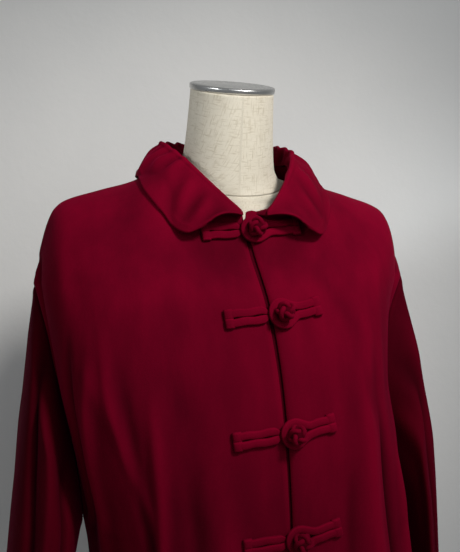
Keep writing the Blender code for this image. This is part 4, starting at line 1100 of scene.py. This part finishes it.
class SHIRT_OT_panels(bpy.types.Operator):
    """Makes the fronts, the back and the sleeves, with their folds, seams and hems"""

    bl_idname = "shirt.panels"
    bl_label = "Panels and sleeves"

    def execute(self, context):
        sizes = context.scene.shirt_sizes
        grids = Shirt.shape()
        names = list(grids)
        normals = [panel_normals(name, grids[name]) for name in names]
        share_seam_normals([grids[name] for name in names], normals)
        for name, normal in zip(names, normals):
            closed = name.startswith("sleeve")
            points = grids[name]
            to = edge_distance(points, closed)
            seams = seam_relief(to["top"], sizes.seam)
            if name == "back":
                seams = seams + seam_relief(np.minimum(to["start"], to["end"]), sizes.seam)
            elif not closed:
                seams = seams + seam_relief(to["end"], sizes.seam)
            if not closed:
                neck = fade(points[..., 2], 1.315, 1.33) if name == "back" else 0.0
                seams = seams * (1 - neck)
            hem = to["bottom"]
            hem_line = -0.0006 * np.exp(-(((hem - sizes.hem) / 0.0025) ** 2))
            edge_roll = -0.0009 * np.exp(-((hem / 0.0016) ** 2))
            relief = seams + hem_line + edge_roll
            inner_extra = sizes.wall * 0.9 * (1 - fade(hem, sizes.hem - 0.003, sizes.hem))
            if name.startswith("front"):
                relief = relief - 0.0012 * np.exp(-((to["start"] / 0.0018) ** 2))
                facing = sizes.wall * 0.6 * (1 - fade(to["start"], FACING, FACING + 0.003))
                inner_extra = np.maximum(inner_extra, facing)
            outer = points + normal * relief[..., None]
            inner = points - normal * (sizes.wall + inner_extra)[..., None]
            uv = np.stack([to["across"], to["down"]], axis=-1)
            nap = painted_light_share(points, normal, closed)
            if not closed:
                # Painted highlight along the fronts' opening edges and along the back's hem.
                rim = to["start"] if name != "back" else to["bottom"]
                nap = np.clip(nap + 0.35 * np.exp(-((rim / 0.0022) ** 2)), 0.0, 1.0)
            # Painted highlight in a line just below the sleeves' armhole seams.
            nap = np.clip(nap + 0.25 * np.exp(-(((to["top"] - 0.004) / 0.002) ** 2)) * closed, 0.0, 1.0)
            mesh = wall(name, outer, inner, closed, uv, nap)
            # The sleeves get a darker copy of the velvet as painted shade, with a stronger painted sheen on edges seen
            # aslant.
            looks = velvet("sleeve velvet", rim=0.5, painted_shade_tone=0.44) if closed else velvet()
            obj = place_piece(name, mesh, looks)
        return {"FINISHED"}


class SHIRT_OT_collar(bpy.types.Operator):
    """Makes the collar, which stands on the neckline, rolls over and falls on the shoulders"""

    bl_idname = "shirt.collar"
    bl_label = "Collar"

    def execute(self, context):
        Shirt.shape()
        half = np.concatenate([np.linspace(0, 0.5, COLLAR_STEPS + 1), np.linspace(0.5, 1, COLLAR_STEPS + 1)[1:]])
        read = {name: column(COLLAR, name) for name in COLLAR[0][1:]}
        halves = []
        for side in (RIGHT, LEFT):
            front = neckline(side, FRONT, np.linspace(0, 1, COLLAR_STEPS + 1))
            back = neckline(side, BACK, np.linspace(1, 0, COLLAR_STEPS + 1))[1:]
            roll = np.stack([side * read["roll_x"](half), read["roll_y"](half), read["roll_z"](half)], axis=-1)
            edge = np.stack([side * read["edge_x"](half), read["edge_y"](half), read["edge_z"](half)], axis=-1)
            roll[:, 0] += COLLAR_FRONT_SHIFT[side] * (1 - half) ** 2
            edge[:, 0] += COLLAR_FRONT_SHIFT[side] * (1 - half) ** 2
            halves.append((np.concatenate([front, back]), roll, edge))
        base, roll, edge = (np.concatenate([a, b[-2::-1]]) for a, b in zip(*halves))
        turn = np.concatenate([half, half[-2::-1]])
        signed = np.concatenate([-half, half[-2::-1]])
        ruffle = fade(-signed, 0.30, 0.45) * np.sin(signed * 95) * 0.0016
        ruffle = ruffle + fade(signed, 0.35, 0.5) * np.sin(signed * 80) * 0.0009
        roll[:, 2] += ruffle
        outwards = roll[:, :2] / np.linalg.norm(roll[:, :2], axis=1, keepdims=True)
        roll[:, :2] += outwards * (ruffle * 1.2)[:, None]
        away = base - np.array([0.0, -0.012, 0.0])
        away[:, 2] = 0
        away /= np.linalg.norm(away, axis=1, keepdims=True)
        up = np.array([0.0, 0.0, 1.0])
        low = base - away * (COLLAR_THICK + COLLAR_CLEAR) + up * 0.0005
        rows = []
        lump = ripple(turn * 0.24, signed * 0.05, 12, 0.05)[:, None]
        for s in np.linspace(0, 1, 15):
            rows.append(low + (roll - up * COLLAR_ROLL - low) * s + away * 0.0030 * lump * math.sin(math.pi * s))
        fold = roll + away * COLLAR_ROLL
        for s in np.linspace(0.15, 0.85, 5):
            over = roll + away * COLLAR_ROLL * (1 - math.cos(math.pi * s)) / 2 * 1.6
            rows.append(over + up * COLLAR_ROLL * (math.sin(math.pi * s) - 0.75))
        fall_from = len(rows)
        for s in np.linspace(0, 1, 34):
            start = fold + away * COLLAR_ROLL * 0.6 - up * COLLAR_ROLL * 0.7
            arch = COLLAR_BULGE + COLLAR_FRONT_ARCH * np.clip(1 - turn / 0.15, 0.0, 1.0)[:, None]
            wave = 0.0020 * ripple(turn * 0.30 + s * 0.03, signed * 0.1 + s * 0.05, 5, 0.045)[:, None]
            edge_ridge = 0.0009 * math.exp(-(((1 - s) * 0.055 - 0.0065) / 0.0022) ** 2)
            bulge = (away * 0.6 + up * 0.8) * (arch * math.sin(math.pi * s) + wave * math.sin(math.pi * s) + edge_ridge)
            rows.append(start + (edge - start) * s + bulge)
        outer = np.stack(rows)
        outer[fall_from:] = Shirt.lift_off(outer[fall_from:], COLLAR_THICK + COLLAR_REST)
        inward = np.repeat(-away[None], fall_from, 0)
        outward = np.repeat((away + up)[None], len(rows) - fall_from, 0)
        normal = grid_normals(outer, np.concatenate([inward, outward]))
        normal[15:fall_from] = grid_normals(outer, np.repeat(up[None, None], len(rows), 0))[15:fall_from]
        to = edge_distance(outer, False)
        rim = np.minimum(np.minimum(to["start"], to["end"]), to["bottom"])
        thick = COLLAR_THICK * (1 - 0.45 * np.exp(-((rim / 0.0022) ** 2)))
        inner = outer - normal * thick[..., None]
        inner[fall_from:] = Shirt.lift_off(inner[fall_from:], COLLAR_REST * 0.5)
        outer = outer - normal * (0.0007 * np.exp(-((rim / 0.0018) ** 2)))[..., None]
        uv = np.stack([to["across"], to["down"]], axis=-1)
        # Painted highlight along the collar's edges.
        nap = np.clip(painted_light_share(outer, normal) + 0.4 * np.exp(-((rim / 0.0025) ** 2)), 0.0, 1.0)
        # A darker copy of the velvet, with painted sheen on edges seen aslant.
        looks = velvet("collar velvet", 0.5, 0.4, 0.5, 0.85)
        obj = place_piece("collar", wall("collar", outer, inner, uv=uv, nap=nap), looks)
        return {"FINISHED"}


class SHIRT_OT_underlap(bpy.types.Operator):
    """Makes the strip behind the front opening"""

    bl_idname = "shirt.underlap"
    bl_label = "Underlap"

    def execute(self, context):
        Shirt.shape()
        z = np.linspace(*UNDERLAP_HEIGHTS, UNDERLAP_GRID[0])[:, None]
        along = UNDERLAP_WIDTH * np.linspace(-0.5, 0.5, UNDERLAP_GRID[1])[None]
        faces = []
        for lift in UNDERLAP_DEPTHS:
            faces.append(Shirt.on_front(OPENING_AT["x"](z), z, along, 0.0, np.full(UNDERLAP_GRID, lift)))
        uv = np.stack(np.broadcast_arrays(along, z), axis=-1)
        # Painted shade: the strip in the groove is darkened almost to the hollows' near black.
        nap = np.full(UNDERLAP_GRID, UNDERLAP_PAINTED_SHADE)
        obj = place_piece("underlap", wall("underlap", *faces, uv=uv, nap=nap), velvet())
        return {"FINISHED"}


# Frog fasteners

def turned(along, across, degrees):
    """A place on the cloth, turned about the opening."""
    c, s = math.cos(math.radians(degrees)), math.sin(math.radians(degrees))
    return along * c - across * s, along * s + across * c


class Frog:
    """One frog's place on the fronts, and its own measures."""

    def __init__(self, number, row):
        self.name = f"frog_{number}_"
        self.z, self.offset, self.ball_reach, self.loop_reach, self.ball_slope, self.loop_slope = row
        self.x = float(OPENING_AT["x"](self.z))

    def place(self, along, across, lift, slope=0.0, about=0.0):
        """Points over the fronts, measured from the opening and turned by a slope about a point on it."""
        a, c = turned(np.asarray(along, float) - about, np.asarray(across, float), slope)
        return Shirt.lift_off(Shirt.on_front(self.x, self.z, a + about, c, np.asarray(lift, float)), TRIM_LIFT)


def cord_rings(frog, path, width, height, slope, about, sides=14, squeeze=None):
    """Rings of a flattened cord along (along, across, lift) points of the cloth."""
    path = np.array(path, float)
    heading = np.gradient(path[:, :2], axis=0)
    heading /= np.linalg.norm(heading, axis=1, keepdims=True)
    sideways = np.stack([-heading[:, 1], heading[:, 0]], axis=1)
    squeeze = np.ones(len(path)) if squeeze is None else np.asarray(squeeze)
    rings = []
    for k in range(sides):
        angle = 2 * math.pi * (k + 0.5) / sides
        flat = path[:, :2] + sideways * (math.cos(angle) * width / 2 * squeeze)[:, None]
        rise = height / 2 * squeeze * (1.0 + math.copysign(abs(math.sin(angle)) ** 0.8, math.sin(angle)))
        rings.append(frog.place(flat[:, 0], flat[:, 1], TRIM_LIFT + rise + path[:, 2], slope, about))
    return np.stack(rings, axis=1)


def cord_painted_light(count, sides=14):
    """Painted light round a cord: painted highlight on its top and along its upper shoulders, painted shade at its
    foot.
    """
    angle = 2 * math.pi * (np.arange(sides) + 0.5) / sides
    shoulders = np.exp(-(((np.abs(np.cos(angle)) - 0.80) / 0.16) ** 2)) * (np.sin(angle) > 0)
    ring = 0.42 + 0.26 * np.sin(angle) + 0.45 * shoulders
    return np.clip(np.broadcast_to(ring, (count, sides)), 0.0, 1.0)


def join_meshes(name, meshes):
    """One mesh from several closed ones."""
    shape = bmesh.new()
    for mesh in meshes:
        shape.from_mesh(mesh)
    made = bpy.data.meshes.new(name)
    shape.to_mesh(made)
    shape.free()
    made.shade_smooth()
    return made


class SHIRT_OT_frogs(bpy.types.Operator):
    """Makes the flat parts of the frogs: the cords of the ball side, the loops and the turned-under ends"""

    bl_idname = "shirt.frogs"
    bl_label = "Frog cords"

    def execute(self, context):
        Shirt.shape()
        sizes = context.scene.frog_sizes
        for number, row in enumerate(FROGS[1], start=1):
            frog = Frog(number, row)
            self.ball_side(frog, sizes)
            self.loop_side(frog, sizes)
            self.tab(frog, sizes, "ball_tab", -frog.ball_reach, frog.ball_slope, 0.0)
            self.tab(frog, sizes, "loop_tab", frog.loop_reach, frog.loop_slope, frog.offset)
        return {"FINISHED"}

    def ball_side(self, frog, sizes):
        end = frog.ball_reach - TAB_LENGTH * 0.75
        tongue = frog.offset - sizes.loop_radius - sizes.cord / 2
        leg = sizes.cord * 0.53
        meshes = []
        for way in (-1, 1):
            strip, stem = np.linspace(-end, tongue - 0.004, 22), np.linspace(tongue - 0.002, frog.offset, 9)
            alongs = np.concatenate([strip, stem])
            close = fade(alongs, tongue - 0.0060, tongue + 0.0030)
            wobble = 0.0004 * np.sin(alongs * 260 + frog.z * 90 + way)
            across = way * (leg * (1 - close) + 0.0018 * close) + wobble * (1 - close)
            lift = 0.0009 * fade(alongs, frog.offset - 0.007, frog.offset - 0.003)
            squeeze = 1 - 0.55 * close + 0.02 * np.sin(alongs * 330 + way)
            slope = frog.ball_slope
            path = np.stack([alongs, across, lift], axis=-1)
            rings = cord_rings(frog, path, sizes.cord, sizes.cord_height, slope, 0.0, squeeze=squeeze)
            meshes.append(loft("cord", rings, nap=cord_painted_light(len(path))))
        name = frog.name + "ball_strip"
        place_piece(name, join_meshes(name, meshes), cord_velvet())

    def loop_side(self, frog, sizes):
        end = frog.loop_reach - TAB_LENGTH * 0.75
        leg = sizes.cord * 0.52
        opening = math.radians(52)
        radius = sizes.loop_radius
        path = []
        alongs = np.linspace(end, frog.offset + radius * 1.25, 16)
        for along in alongs:
            path.append((along, leg, 0.0))
        for k in range(33):
            angle = opening + (2 * math.pi - 2 * opening) * k / 32
            lift = 0.0030 * (1 - math.cos(angle)) / 2
            path.append((frog.offset + radius * math.cos(angle), radius * math.sin(angle), lift))
        for along in alongs[::-1]:
            path.append((along, -leg, 0.0))
        path = np.array(path)
        smooth = path.copy()
        for _ in range(3):
            smooth[1:-1] = (smooth[:-2] + 2 * smooth[1:-1] + smooth[2:]) / 4
        smooth[:, 1] += 0.0003 * np.sin(smooth[:, 0] * 300 + frog.z * 70)
        rings = cord_rings(frog, smooth, sizes.cord, sizes.cord_height, frog.loop_slope, frog.offset)
        name = frog.name + "loop"
        place_piece(name, loft(name, rings, nap=cord_painted_light(len(smooth))), cord_velvet())

    def tab(self, frog, sizes, name, reach, slope, about):
        along = reach - math.copysign(TAB_LENGTH / 2, reach)
        half = sizes.cord * 1.12
        meshes = []
        for way in (-1, 1):
            stations = np.linspace(-0.55, 0.55, 12)
            rings = []
            for s in stations:
                bow = math.sqrt(max(1 - (s / 0.58) ** 2, 0.02))
                ring = []
                for k in range(14):
                    angle = 2 * math.pi * (k + 0.5) / 14
                    across = way * half * 0.5 + half * 0.56 * math.cos(angle) * (0.9 + 0.1 * bow)
                    rise = 1 + math.copysign(abs(math.sin(angle)) ** 0.6, math.sin(angle))
                    lift = TRIM_LIFT + 0.0029 * rise * (0.55 + 0.45 * bow)
                    ring.append((along + s * TAB_LENGTH, across, lift))
                ring = np.array(ring)
                rings.append(frog.place(ring[:, 0], ring[:, 1], ring[:, 2], slope, about))
            meshes.append(loft("tab", np.stack(rings), nap=cord_painted_light(len(stations))))
        name = frog.name + name
        place_piece(name, join_meshes(name, meshes), cord_velvet())


def tube_tree():
    """Geometry nodes: a round cord along a closed path, with inputs for its thickness and material."""
    tree = bpy.data.node_groups.new("cord along a path", "GeometryNodeTree")
    tree.interface.new_socket(name="Path", in_out="INPUT", socket_type="NodeSocketGeometry")
    tree.interface.new_socket(name="Thickness", in_out="INPUT", socket_type="NodeSocketFloat")
    tree.interface.new_socket(name="Velvet", in_out="INPUT", socket_type="NodeSocketMaterial")
    tree.interface.new_socket(name="Cord", in_out="OUTPUT", socket_type="NodeSocketGeometry")
    given, result = tree.nodes.new("NodeGroupInput"), tree.nodes.new("NodeGroupOutput")
    curve = tree.nodes.new("GeometryNodeMeshToCurve")
    round_section = tree.nodes.new("GeometryNodeCurvePrimitiveCircle")
    round_section.inputs["Resolution"].default_value = 12
    half = node(tree, "ShaderNodeMath", {1: 0.5}, operation="MULTIPLY")
    tube = tree.nodes.new("GeometryNodeCurveToMesh")
    tube.inputs["Fill Caps"].default_value = True
    realize = tree.nodes.new("GeometryNodeRealizeInstances")
    paint = tree.nodes.new("GeometryNodeSetMaterial")
    tree.links.new(given.outputs["Path"], curve.inputs["Mesh"])
    tree.links.new(given.outputs["Thickness"], half.inputs[0])
    tree.links.new(half.outputs[0], round_section.inputs["Radius"])
    tree.links.new(curve.outputs[0], tube.inputs["Curve"])
    tree.links.new(round_section.outputs["Curve"], tube.inputs["Profile Curve"])
    tree.links.new(tube.outputs[0], realize.inputs[0])
    tree.links.new(realize.outputs[0], paint.inputs["Geometry"])
    tree.links.new(given.outputs["Velvet"], paint.inputs["Material"])
    tree.links.new(paint.outputs[0], result.inputs["Cord"])
    return tree


def set_input(tree, modifier, name, value):
    """Sets a geometry nodes input by its name's socket."""
    for item in tree.interface.items_tree:
        if item.item_type == "SOCKET" and item.in_out == "INPUT" and item.name == name:
            modifier[item.identifier] = value


def tube_mesh(tree, name, points, closed, thickness, looks):
    """A plain mesh of a cord along points, made by the geometry nodes."""
    path = bpy.data.meshes.new(name + " path")
    edges = [(i, i + 1) for i in range(len(points) - 1)] + ([(len(points) - 1, 0)] if closed else [])
    path.from_pydata([tuple(map(float, p)) for p in points], edges, [])
    carrier = bpy.data.objects.new(name + " path", path)
    bpy.context.scene.collection.objects.link(carrier)
    modifier = carrier.modifiers.new("cord", "NODES")
    modifier.node_group = tree
    set_input(tree, modifier, "Thickness", thickness)
    set_input(tree, modifier, "Velvet", looks)
    bpy.context.view_layer.update()
    ready = carrier.evaluated_get(bpy.context.evaluated_depsgraph_get())
    mesh = bpy.data.meshes.new_from_object(ready)
    mesh.name = name
    carrier.modifiers.remove(modifier)
    bpy.data.objects.remove(carrier)
    return face_outwards(mesh)


class SHIRT_OT_balls(bpy.types.Operator):
    """Knots the frogs' balls from one cord each, in a woven knot over a round core"""

    bl_idname = "shirt.balls"
    bl_label = "Knotted balls"

    def execute(self, context):
        Shirt.shape()
        sizes = context.scene.frog_sizes
        tree = tube_tree()
        # Strong painted sheen on edges seen aslant.
        looks = velvet("knot velvet", 0.6, 0.6, 0.9)
        for number, row in enumerate(FROGS[1], start=1):
            frog = Frog(number, row)
            centre = frog.place(frog.offset, 0.0, BALL_LIFT)
            out = centre - frog.place(frog.offset, 0.0, 0.0)
            out /= np.linalg.norm(out)
            across = np.cross([0.0, 0.0, 1.0], out)
            across /= np.linalg.norm(across)
            axes = np.stack([across, np.cross(out, across), out * BALL_FLATTENING])
            spin = 0.35 + 0.5 * number
            thick = sizes.knot_cord
            weave = KNOT_WEAVE * thick
            radius = sizes.ball_radius - weave - thick / 2
            steps = np.linspace(0, 2 * math.pi, KNOT_STEPS, endpoint=False)
            bend = sizes.bights * steps
            latitude = KNOT_LATITUDE * np.cos(bend)
            longitude = KNOT_STRANDS * steps + spin
            reach = radius + weave * np.sin(2 * bend)
            ball = np.stack(
                [
                    reach * np.cos(latitude) * np.cos(longitude),
                    reach * np.cos(latitude) * np.sin(longitude),
                    reach * np.sin(latitude),
                ],
                axis=-1,
            )
            cord = tube_mesh(tree, frog.name + "ball", ball @ axes + centre, True, thick, looks)
            core = bpy.data.meshes.new("core")
            shape = bmesh.new()
            bmesh.ops.create_uvsphere(shape, u_segments=28, v_segments=18, radius=radius + 0.0006)
            for vertex in shape.verts:
                vertex.co = Vector(np.array(vertex.co) @ axes + centre)
            shape.to_mesh(core)
            shape.free()
            # Slight painted highlight on the knot's cord and painted shade on the core between its strands.
            write_painted_light(cord, KNOT_PAINTED_LIGHT)
            write_painted_light(core, CORE_PAINTED_SHADE)
            place_piece(frog.name + "ball", join_meshes(frog.name + "ball", [cord, core]), looks)
        return {"FINISHED"}


# The dress form and its stand

def form_ring(read, z):
    """One section of the form, tipped forward by its tip."""
    angle = 2 * math.pi * np.arange(FORM_RING) / FORM_RING
    front, back = read["front"](z), read["back"](z)
    along = power_of(np.cos(angle), read["power"](z))
    x = read["half"](z) * power_of(np.sin(angle), read["power"](z))
    y = (front + back) / 2 + (front - back) / 2 * along
    if "throat" in read:
        y = y - read["throat"](z) * np.exp(-((x / THROAT_HALF) ** 2)) * (along > 0)
    return np.stack([x, y, z - read["tip"](z) * along], axis=-1)


def form_mesh(name, table, heights, seams):
    """A lofted body with its panel seams, and a UV map in metres round and up."""
    read = {column_name: column(table, column_name) for column_name in table[0][1:]}
    rings = np.stack([form_ring(read, z) for z in heights])
    middle = rings.mean(axis=1, keepdims=True)
    out = rings - middle
    out[..., 2] = 0
    out /= np.linalg.norm(out, axis=-1, keepdims=True)
    around = np.linalg.norm(np.diff(rings, axis=1), axis=-1)
    around = np.concatenate([np.zeros((len(heights), 1)), np.cumsum(around, axis=1)], axis=1)
    for column_index in seams:
        gap = np.abs(around - around[:, column_index : column_index + 1])
        rings = rings - out * (0.0006 * np.exp(-((gap / 0.0016) ** 2)))[..., None]
    up = np.cumsum(np.concatenate([[0], np.linalg.norm(np.diff(rings, axis=0), axis=-1).mean(axis=1)]))
    uv = np.stack(np.broadcast_arrays(around, up[:, None]), axis=-1)
    return loft(name, rings, uv.reshape(-1, 2))


def spun(name, profile, steps=ROUND_STEPS):
    """A turned solid: a profile of (radius, height) from the axis back to the axis, spun round Z."""
    rings = []
    angle = 2 * math.pi * np.arange(steps) / steps
    for radius, z in profile:
        rings.append(np.stack([radius * np.cos(angle), radius * np.sin(angle), np.full(steps, z)], axis=-1))
    return loft(name, np.stack(rings))


class FORM_OT_body(bpy.types.Operator):
    """Makes the form's linen-covered body and neck"""

    bl_idname = "shirt.form_body"
    bl_label = "Form body and neck"

    def execute(self, context):
        low = np.linspace(0.700, 1.255, 90)
        high = np.linspace(1.2599, 1.3129, 40)
        mesh = form_mesh("form_torso", TORSO, np.concatenate([low, high]), (0, 18, 60, 102))
        place_piece("form_torso", mesh, linen())
        heights = np.linspace(NECK[1][0][0], NECK[1][-1][0], 60)
        mesh = form_mesh("form_neck", NECK, heights, (60,))
        place_piece("form_neck", mesh, linen())
        return {"FINISHED"}


class FORM_OT_metal(bpy.types.Operator):
    """Makes the neck cap, the pole, its foot and the base"""

    bl_idname = "shirt.form_metal"
    bl_label = "Cap and stand"

    def execute(self, context):
        _, _, front, back, _, tip = NECK[1][-1]
        lean = math.atan2(2 * tip, back - front)
        r, h = CAP_RADIUS, CAP_HEIGHT
        cap = spun("form_cap", (
            (AXIS, h), (0.30 * r, h - 0.0001), (0.80 * r, h - 0.0003), (0.955 * r, h - 0.0004),
            (0.962 * r, h - 0.0008), (0.970 * r, h - 0.0003), (0.990 * r, h - 0.0006), (r - 0.0001, h - 0.0014),
            (r, h - 0.0020), (r, 0.0012), (r - 0.0003, 0.0005), (r - 0.0012, 0.0), (0.5 * r, 0.0), (AXIS, 0.0),
        ))
        points = np.array([tuple(v.co) for v in cap.vertices])
        c, s = math.cos(lean), math.sin(lean)
        x, y, z = points.T
        tilted = np.stack([x, y * c - z * s, y * s + z * c], axis=-1)
        place = np.array([0.0, (front + back) / 2, NECK[1][-1][0]]) + np.array([0.0, -s, c]) * 0.0004
        cap.vertices.foreach_set("co", (tilted + place).ravel())
        place_piece("form_cap", cap, steel("cap steel", 0.24))
        low = BASE_CROWN + POLE_COLLAR[1] + 0.0006
        pole = spun("stand_pole", ((AXIS, POLE_TOP), (POLE_RADIUS, POLE_TOP), (POLE_RADIUS, low), (AXIS, low)))
        place_piece("stand_pole", pole, steel())
        low = BASE_CROWN + 0.0003
        radius, height = POLE_COLLAR
        foot = spun("stand_collar", (
            (AXIS, low + height), (POLE_RADIUS + 0.001, low + height),
            (POLE_RADIUS + 0.0020, low + 0.97 * height), (POLE_RADIUS + 0.0026, low + 0.80 * height),
            (radius * 0.72, low + 0.45 * height), (radius * 0.85, low + 0.25 * height),
            (radius * 0.97, low + 0.14 * height), (radius, low + 0.10 * height), (radius, low), (AXIS, low),
        ))
        place_piece("stand_collar", foot, steel())
        b = BASE_RADIUS
        base = spun("stand_base", (
            (AXIS, BASE_CROWN), (0.25 * b, BASE_CROWN - 0.001), (0.40 * b, 0.86 * BASE_CROWN),
            (0.55 * b, 0.70 * BASE_CROWN), (0.70 * b, 0.56 * BASE_CROWN), (0.85 * b, 0.45 * BASE_CROWN),
            (b - 0.006, BASE_EDGE + 0.0016), (b - 0.002, BASE_EDGE + 0.0002), (b - 0.0004, BASE_EDGE - 0.0012),
            (b, BASE_EDGE - 0.003), (b, 0.001), (b - 0.001, 0.0), (AXIS, 0.0),
        ), 160)
        place_piece("stand_base", base, enamel())
        return {"FINISHED"}


# Floor, backdrop, camera and lights; a light's path is where it stands and what it is aimed at

KEY_PATH, KEY_ANGLE = ((0.55, -1.35, 2.30), (0.03, 0.0, 1.33)), 41
FILL_PATH, FILL_SIZE = ((0.40, -1.50, 2.00), (0.0, 0.0, 1.15)), 1.4
EDGE_PATH, EDGE_ANGLE = ((-0.85, -0.55, 1.66), (0.0, -0.03, 1.395)), 15
SPOT_SIZE = 0.16
WARM_WHITE, COOL_WHITE, EDGE_WHITE = (1.0, 0.975, 0.945), (0.95, 0.98, 1.0), (0.93, 0.97, 1.0)
ROOM_COLOUR, ROOM_STRENGTH = (0.80, 0.84, 0.88, 1), 0.26
WALL_TURN = 0.12  # radius of the curve from the wall into the floor
WALL_HALF = 3.0


class STAGE_OT_make(bpy.types.Operator):
    """Makes the pale floor and backdrop, the camera and the soft lights"""

    bl_idname = "shirt.stage"
    bl_label = "Stage"

    def execute(self, context):
        settings = context.scene.shirt_stage
        angle = math.radians(settings.azimuth)
        back_way = np.array([math.sin(angle), math.cos(angle), 0.0])
        self.backdrop(settings, back_way)
        camera = bpy.data.cameras.new("camera")
        camera.sensor_width = SENSOR
        camera.lens = settings.lens
        camera.clip_start, camera.clip_end = 0.01, 50
        camera.shift_x = SHIFT_PIXELS / IMAGE_HEIGHT
        eye = bpy.data.objects.new("camera", camera)
        eye.location = (*(-back_way[:2] * settings.distance), settings.height)
        eye.rotation_euler = (math.radians(90), 0, -angle)
        context.scene.collection.objects.link(eye)
        context.scene.camera = eye
        self.spot("key", *KEY_PATH, settings.key, WARM_WHITE, KEY_ANGLE)
        self.area("fill", *FILL_PATH, settings.fill, FILL_SIZE, COOL_WHITE)
        self.spot("edge", *EDGE_PATH, settings.edge, EDGE_WHITE, EDGE_ANGLE)
        world = bpy.data.worlds.new("room")
        world.use_nodes = True
        background = world.node_tree.nodes["Background"].inputs
        background["Color"].default_value, background["Strength"].default_value = ROOM_COLOUR, ROOM_STRENGTH
        context.scene.world = world
        context.scene.view_settings.view_transform = "Standard"
        context.scene.view_settings.look = "None"
        return {"FINISHED"}

    def backdrop(self, settings, back_way):
        """A pale plaster wall behind the form that curves into the floor."""
        across = np.array([back_way[1], -back_way[0], 0.0])
        profile = [(-WALL_HALF, 0.0), (-1.0, 0.0)]
        for k in range(13):
            bend = math.pi / 2 * k / 12
            reach = settings.wall_gap - WALL_TURN + WALL_TURN * math.sin(bend)
            profile.append((reach, WALL_TURN - WALL_TURN * math.cos(bend)))
        profile += [(settings.wall_gap, 0.6), (settings.wall_gap, 3.2)]
        points = []
        for out, z in profile:
            for side in (-WALL_HALF, WALL_HALF):
                points.append(tuple(back_way * out + across * side + np.array([0, 0, z])))
        faces = [(2 * i, 2 * i + 1, 2 * i + 3, 2 * i + 2) for i in range(len(profile) - 1)]
        mesh = bpy.data.meshes.new("backdrop")
        mesh.from_pydata(points, [], faces)
        mesh.shade_smooth()
        made = bpy.data.materials.new("pale plaster")
        made.use_nodes = True
        tree = made.node_tree
        place = node(tree, "ShaderNodeTexCoord").outputs["Object"]
        cloud = noise(tree, place, 3.0, 5.0, 0.6)
        colour = mix_colour(tree, cloud, (0.66, 0.66, 0.65, 1), (0.78, 0.77, 0.745, 1))
        shader = tree.nodes["Principled BSDF"]
        tree.links.new(colour, shader.inputs["Base Color"])
        shader.inputs["Roughness"].default_value = 0.9
        tree.links.new(bumped(tree, noise(tree, place, 60.0, 6.0, 0.6), 0.002, 0.25), shader.inputs["Normal"])
        behind = node(tree, "ShaderNodeNewGeometry").outputs["Backfacing"]
        tree.links.new(calc(tree, "SUBTRACT", 1.0, behind), shader.inputs["Alpha"])
        mesh.materials.append(made)
        obj = bpy.data.objects.new("backdrop", mesh)
        bpy.context.scene.collection.objects.link(obj)

    def area(self, name, place, target, power, size, colour):
        lamp = bpy.data.lights.new(name, "AREA")
        lamp.energy, lamp.size, lamp.color = power, size, colour
        self.aim(lamp, place, target)

    def spot(self, name, place, target, power, colour, degrees):
        lamp = bpy.data.lights.new(name, "SPOT")
        lamp.energy, lamp.color, lamp.shadow_soft_size = power, colour, SPOT_SIZE
        lamp.spot_size, lamp.spot_blend = math.radians(degrees), 1.0
        self.aim(lamp, place, target)

    def aim(self, lamp, place, target):
        obj = bpy.data.objects.new(lamp.name, lamp)
        obj.location = place
        obj.rotation_euler = (Vector(target) - Vector(place)).to_track_quat("-Z", "Y").to_euler()
        bpy.context.scene.collection.objects.link(obj)


OPERATORS = (
    SHIRT_OT_panels,
    SHIRT_OT_collar,
    SHIRT_OT_underlap,
    SHIRT_OT_frogs,
    SHIRT_OT_balls,
    FORM_OT_body,
    FORM_OT_metal,
    STAGE_OT_make,
)
SETTINGS = (
    ("shirt_sizes", ShirtSizes),
    ("frog_sizes", FrogSizes),
    ("shirt_finish", ShirtFinish),
    ("shirt_stage", StageSettings),
)


class SHIRT_PT_sidebar(bpy.types.Panel):
    """Lists the pieces and their settings"""

    bl_label = "Velvet Shirt"
    bl_idname = "SHIRT_PT_sidebar"
    bl_space_type = "VIEW_3D"
    bl_region_type = "UI"
    bl_category = "Shirt"

    def draw(self, context):
        for operator in OPERATORS:
            self.layout.operator(operator.bl_idname)
        for name, group in SETTINGS:
            box = self.layout.box()
            for key in group.__annotations__:
                box.prop(getattr(context.scene, name), key)


def register():
    """Adds the settings, the operators and the sidebar."""
    for name, group in SETTINGS:
        bpy.utils.register_class(group)
        setattr(bpy.types.Scene, name, PointerProperty(type=group))
    for made in (*OPERATORS, SHIRT_PT_sidebar):
        bpy.utils.register_class(made)


def unregister():
    """Takes the sidebar, the operators and the settings away again."""
    for made in (SHIRT_PT_sidebar, *reversed(OPERATORS)):
        bpy.utils.unregister_class(made)
    for name, group in reversed(SETTINGS):
        delattr(bpy.types.Scene, name)
        bpy.utils.unregister_class(group)


def main():
    """Makes every piece in order."""
    register()
    bpy.ops.shirt.panels()
    bpy.ops.shirt.collar()
    bpy.ops.shirt.underlap()
    bpy.ops.shirt.frogs()
    bpy.ops.shirt.balls()
    bpy.ops.shirt.form_body()
    bpy.ops.shirt.form_metal()
    bpy.ops.shirt.stage()


if __name__ == "__main__":
    main()
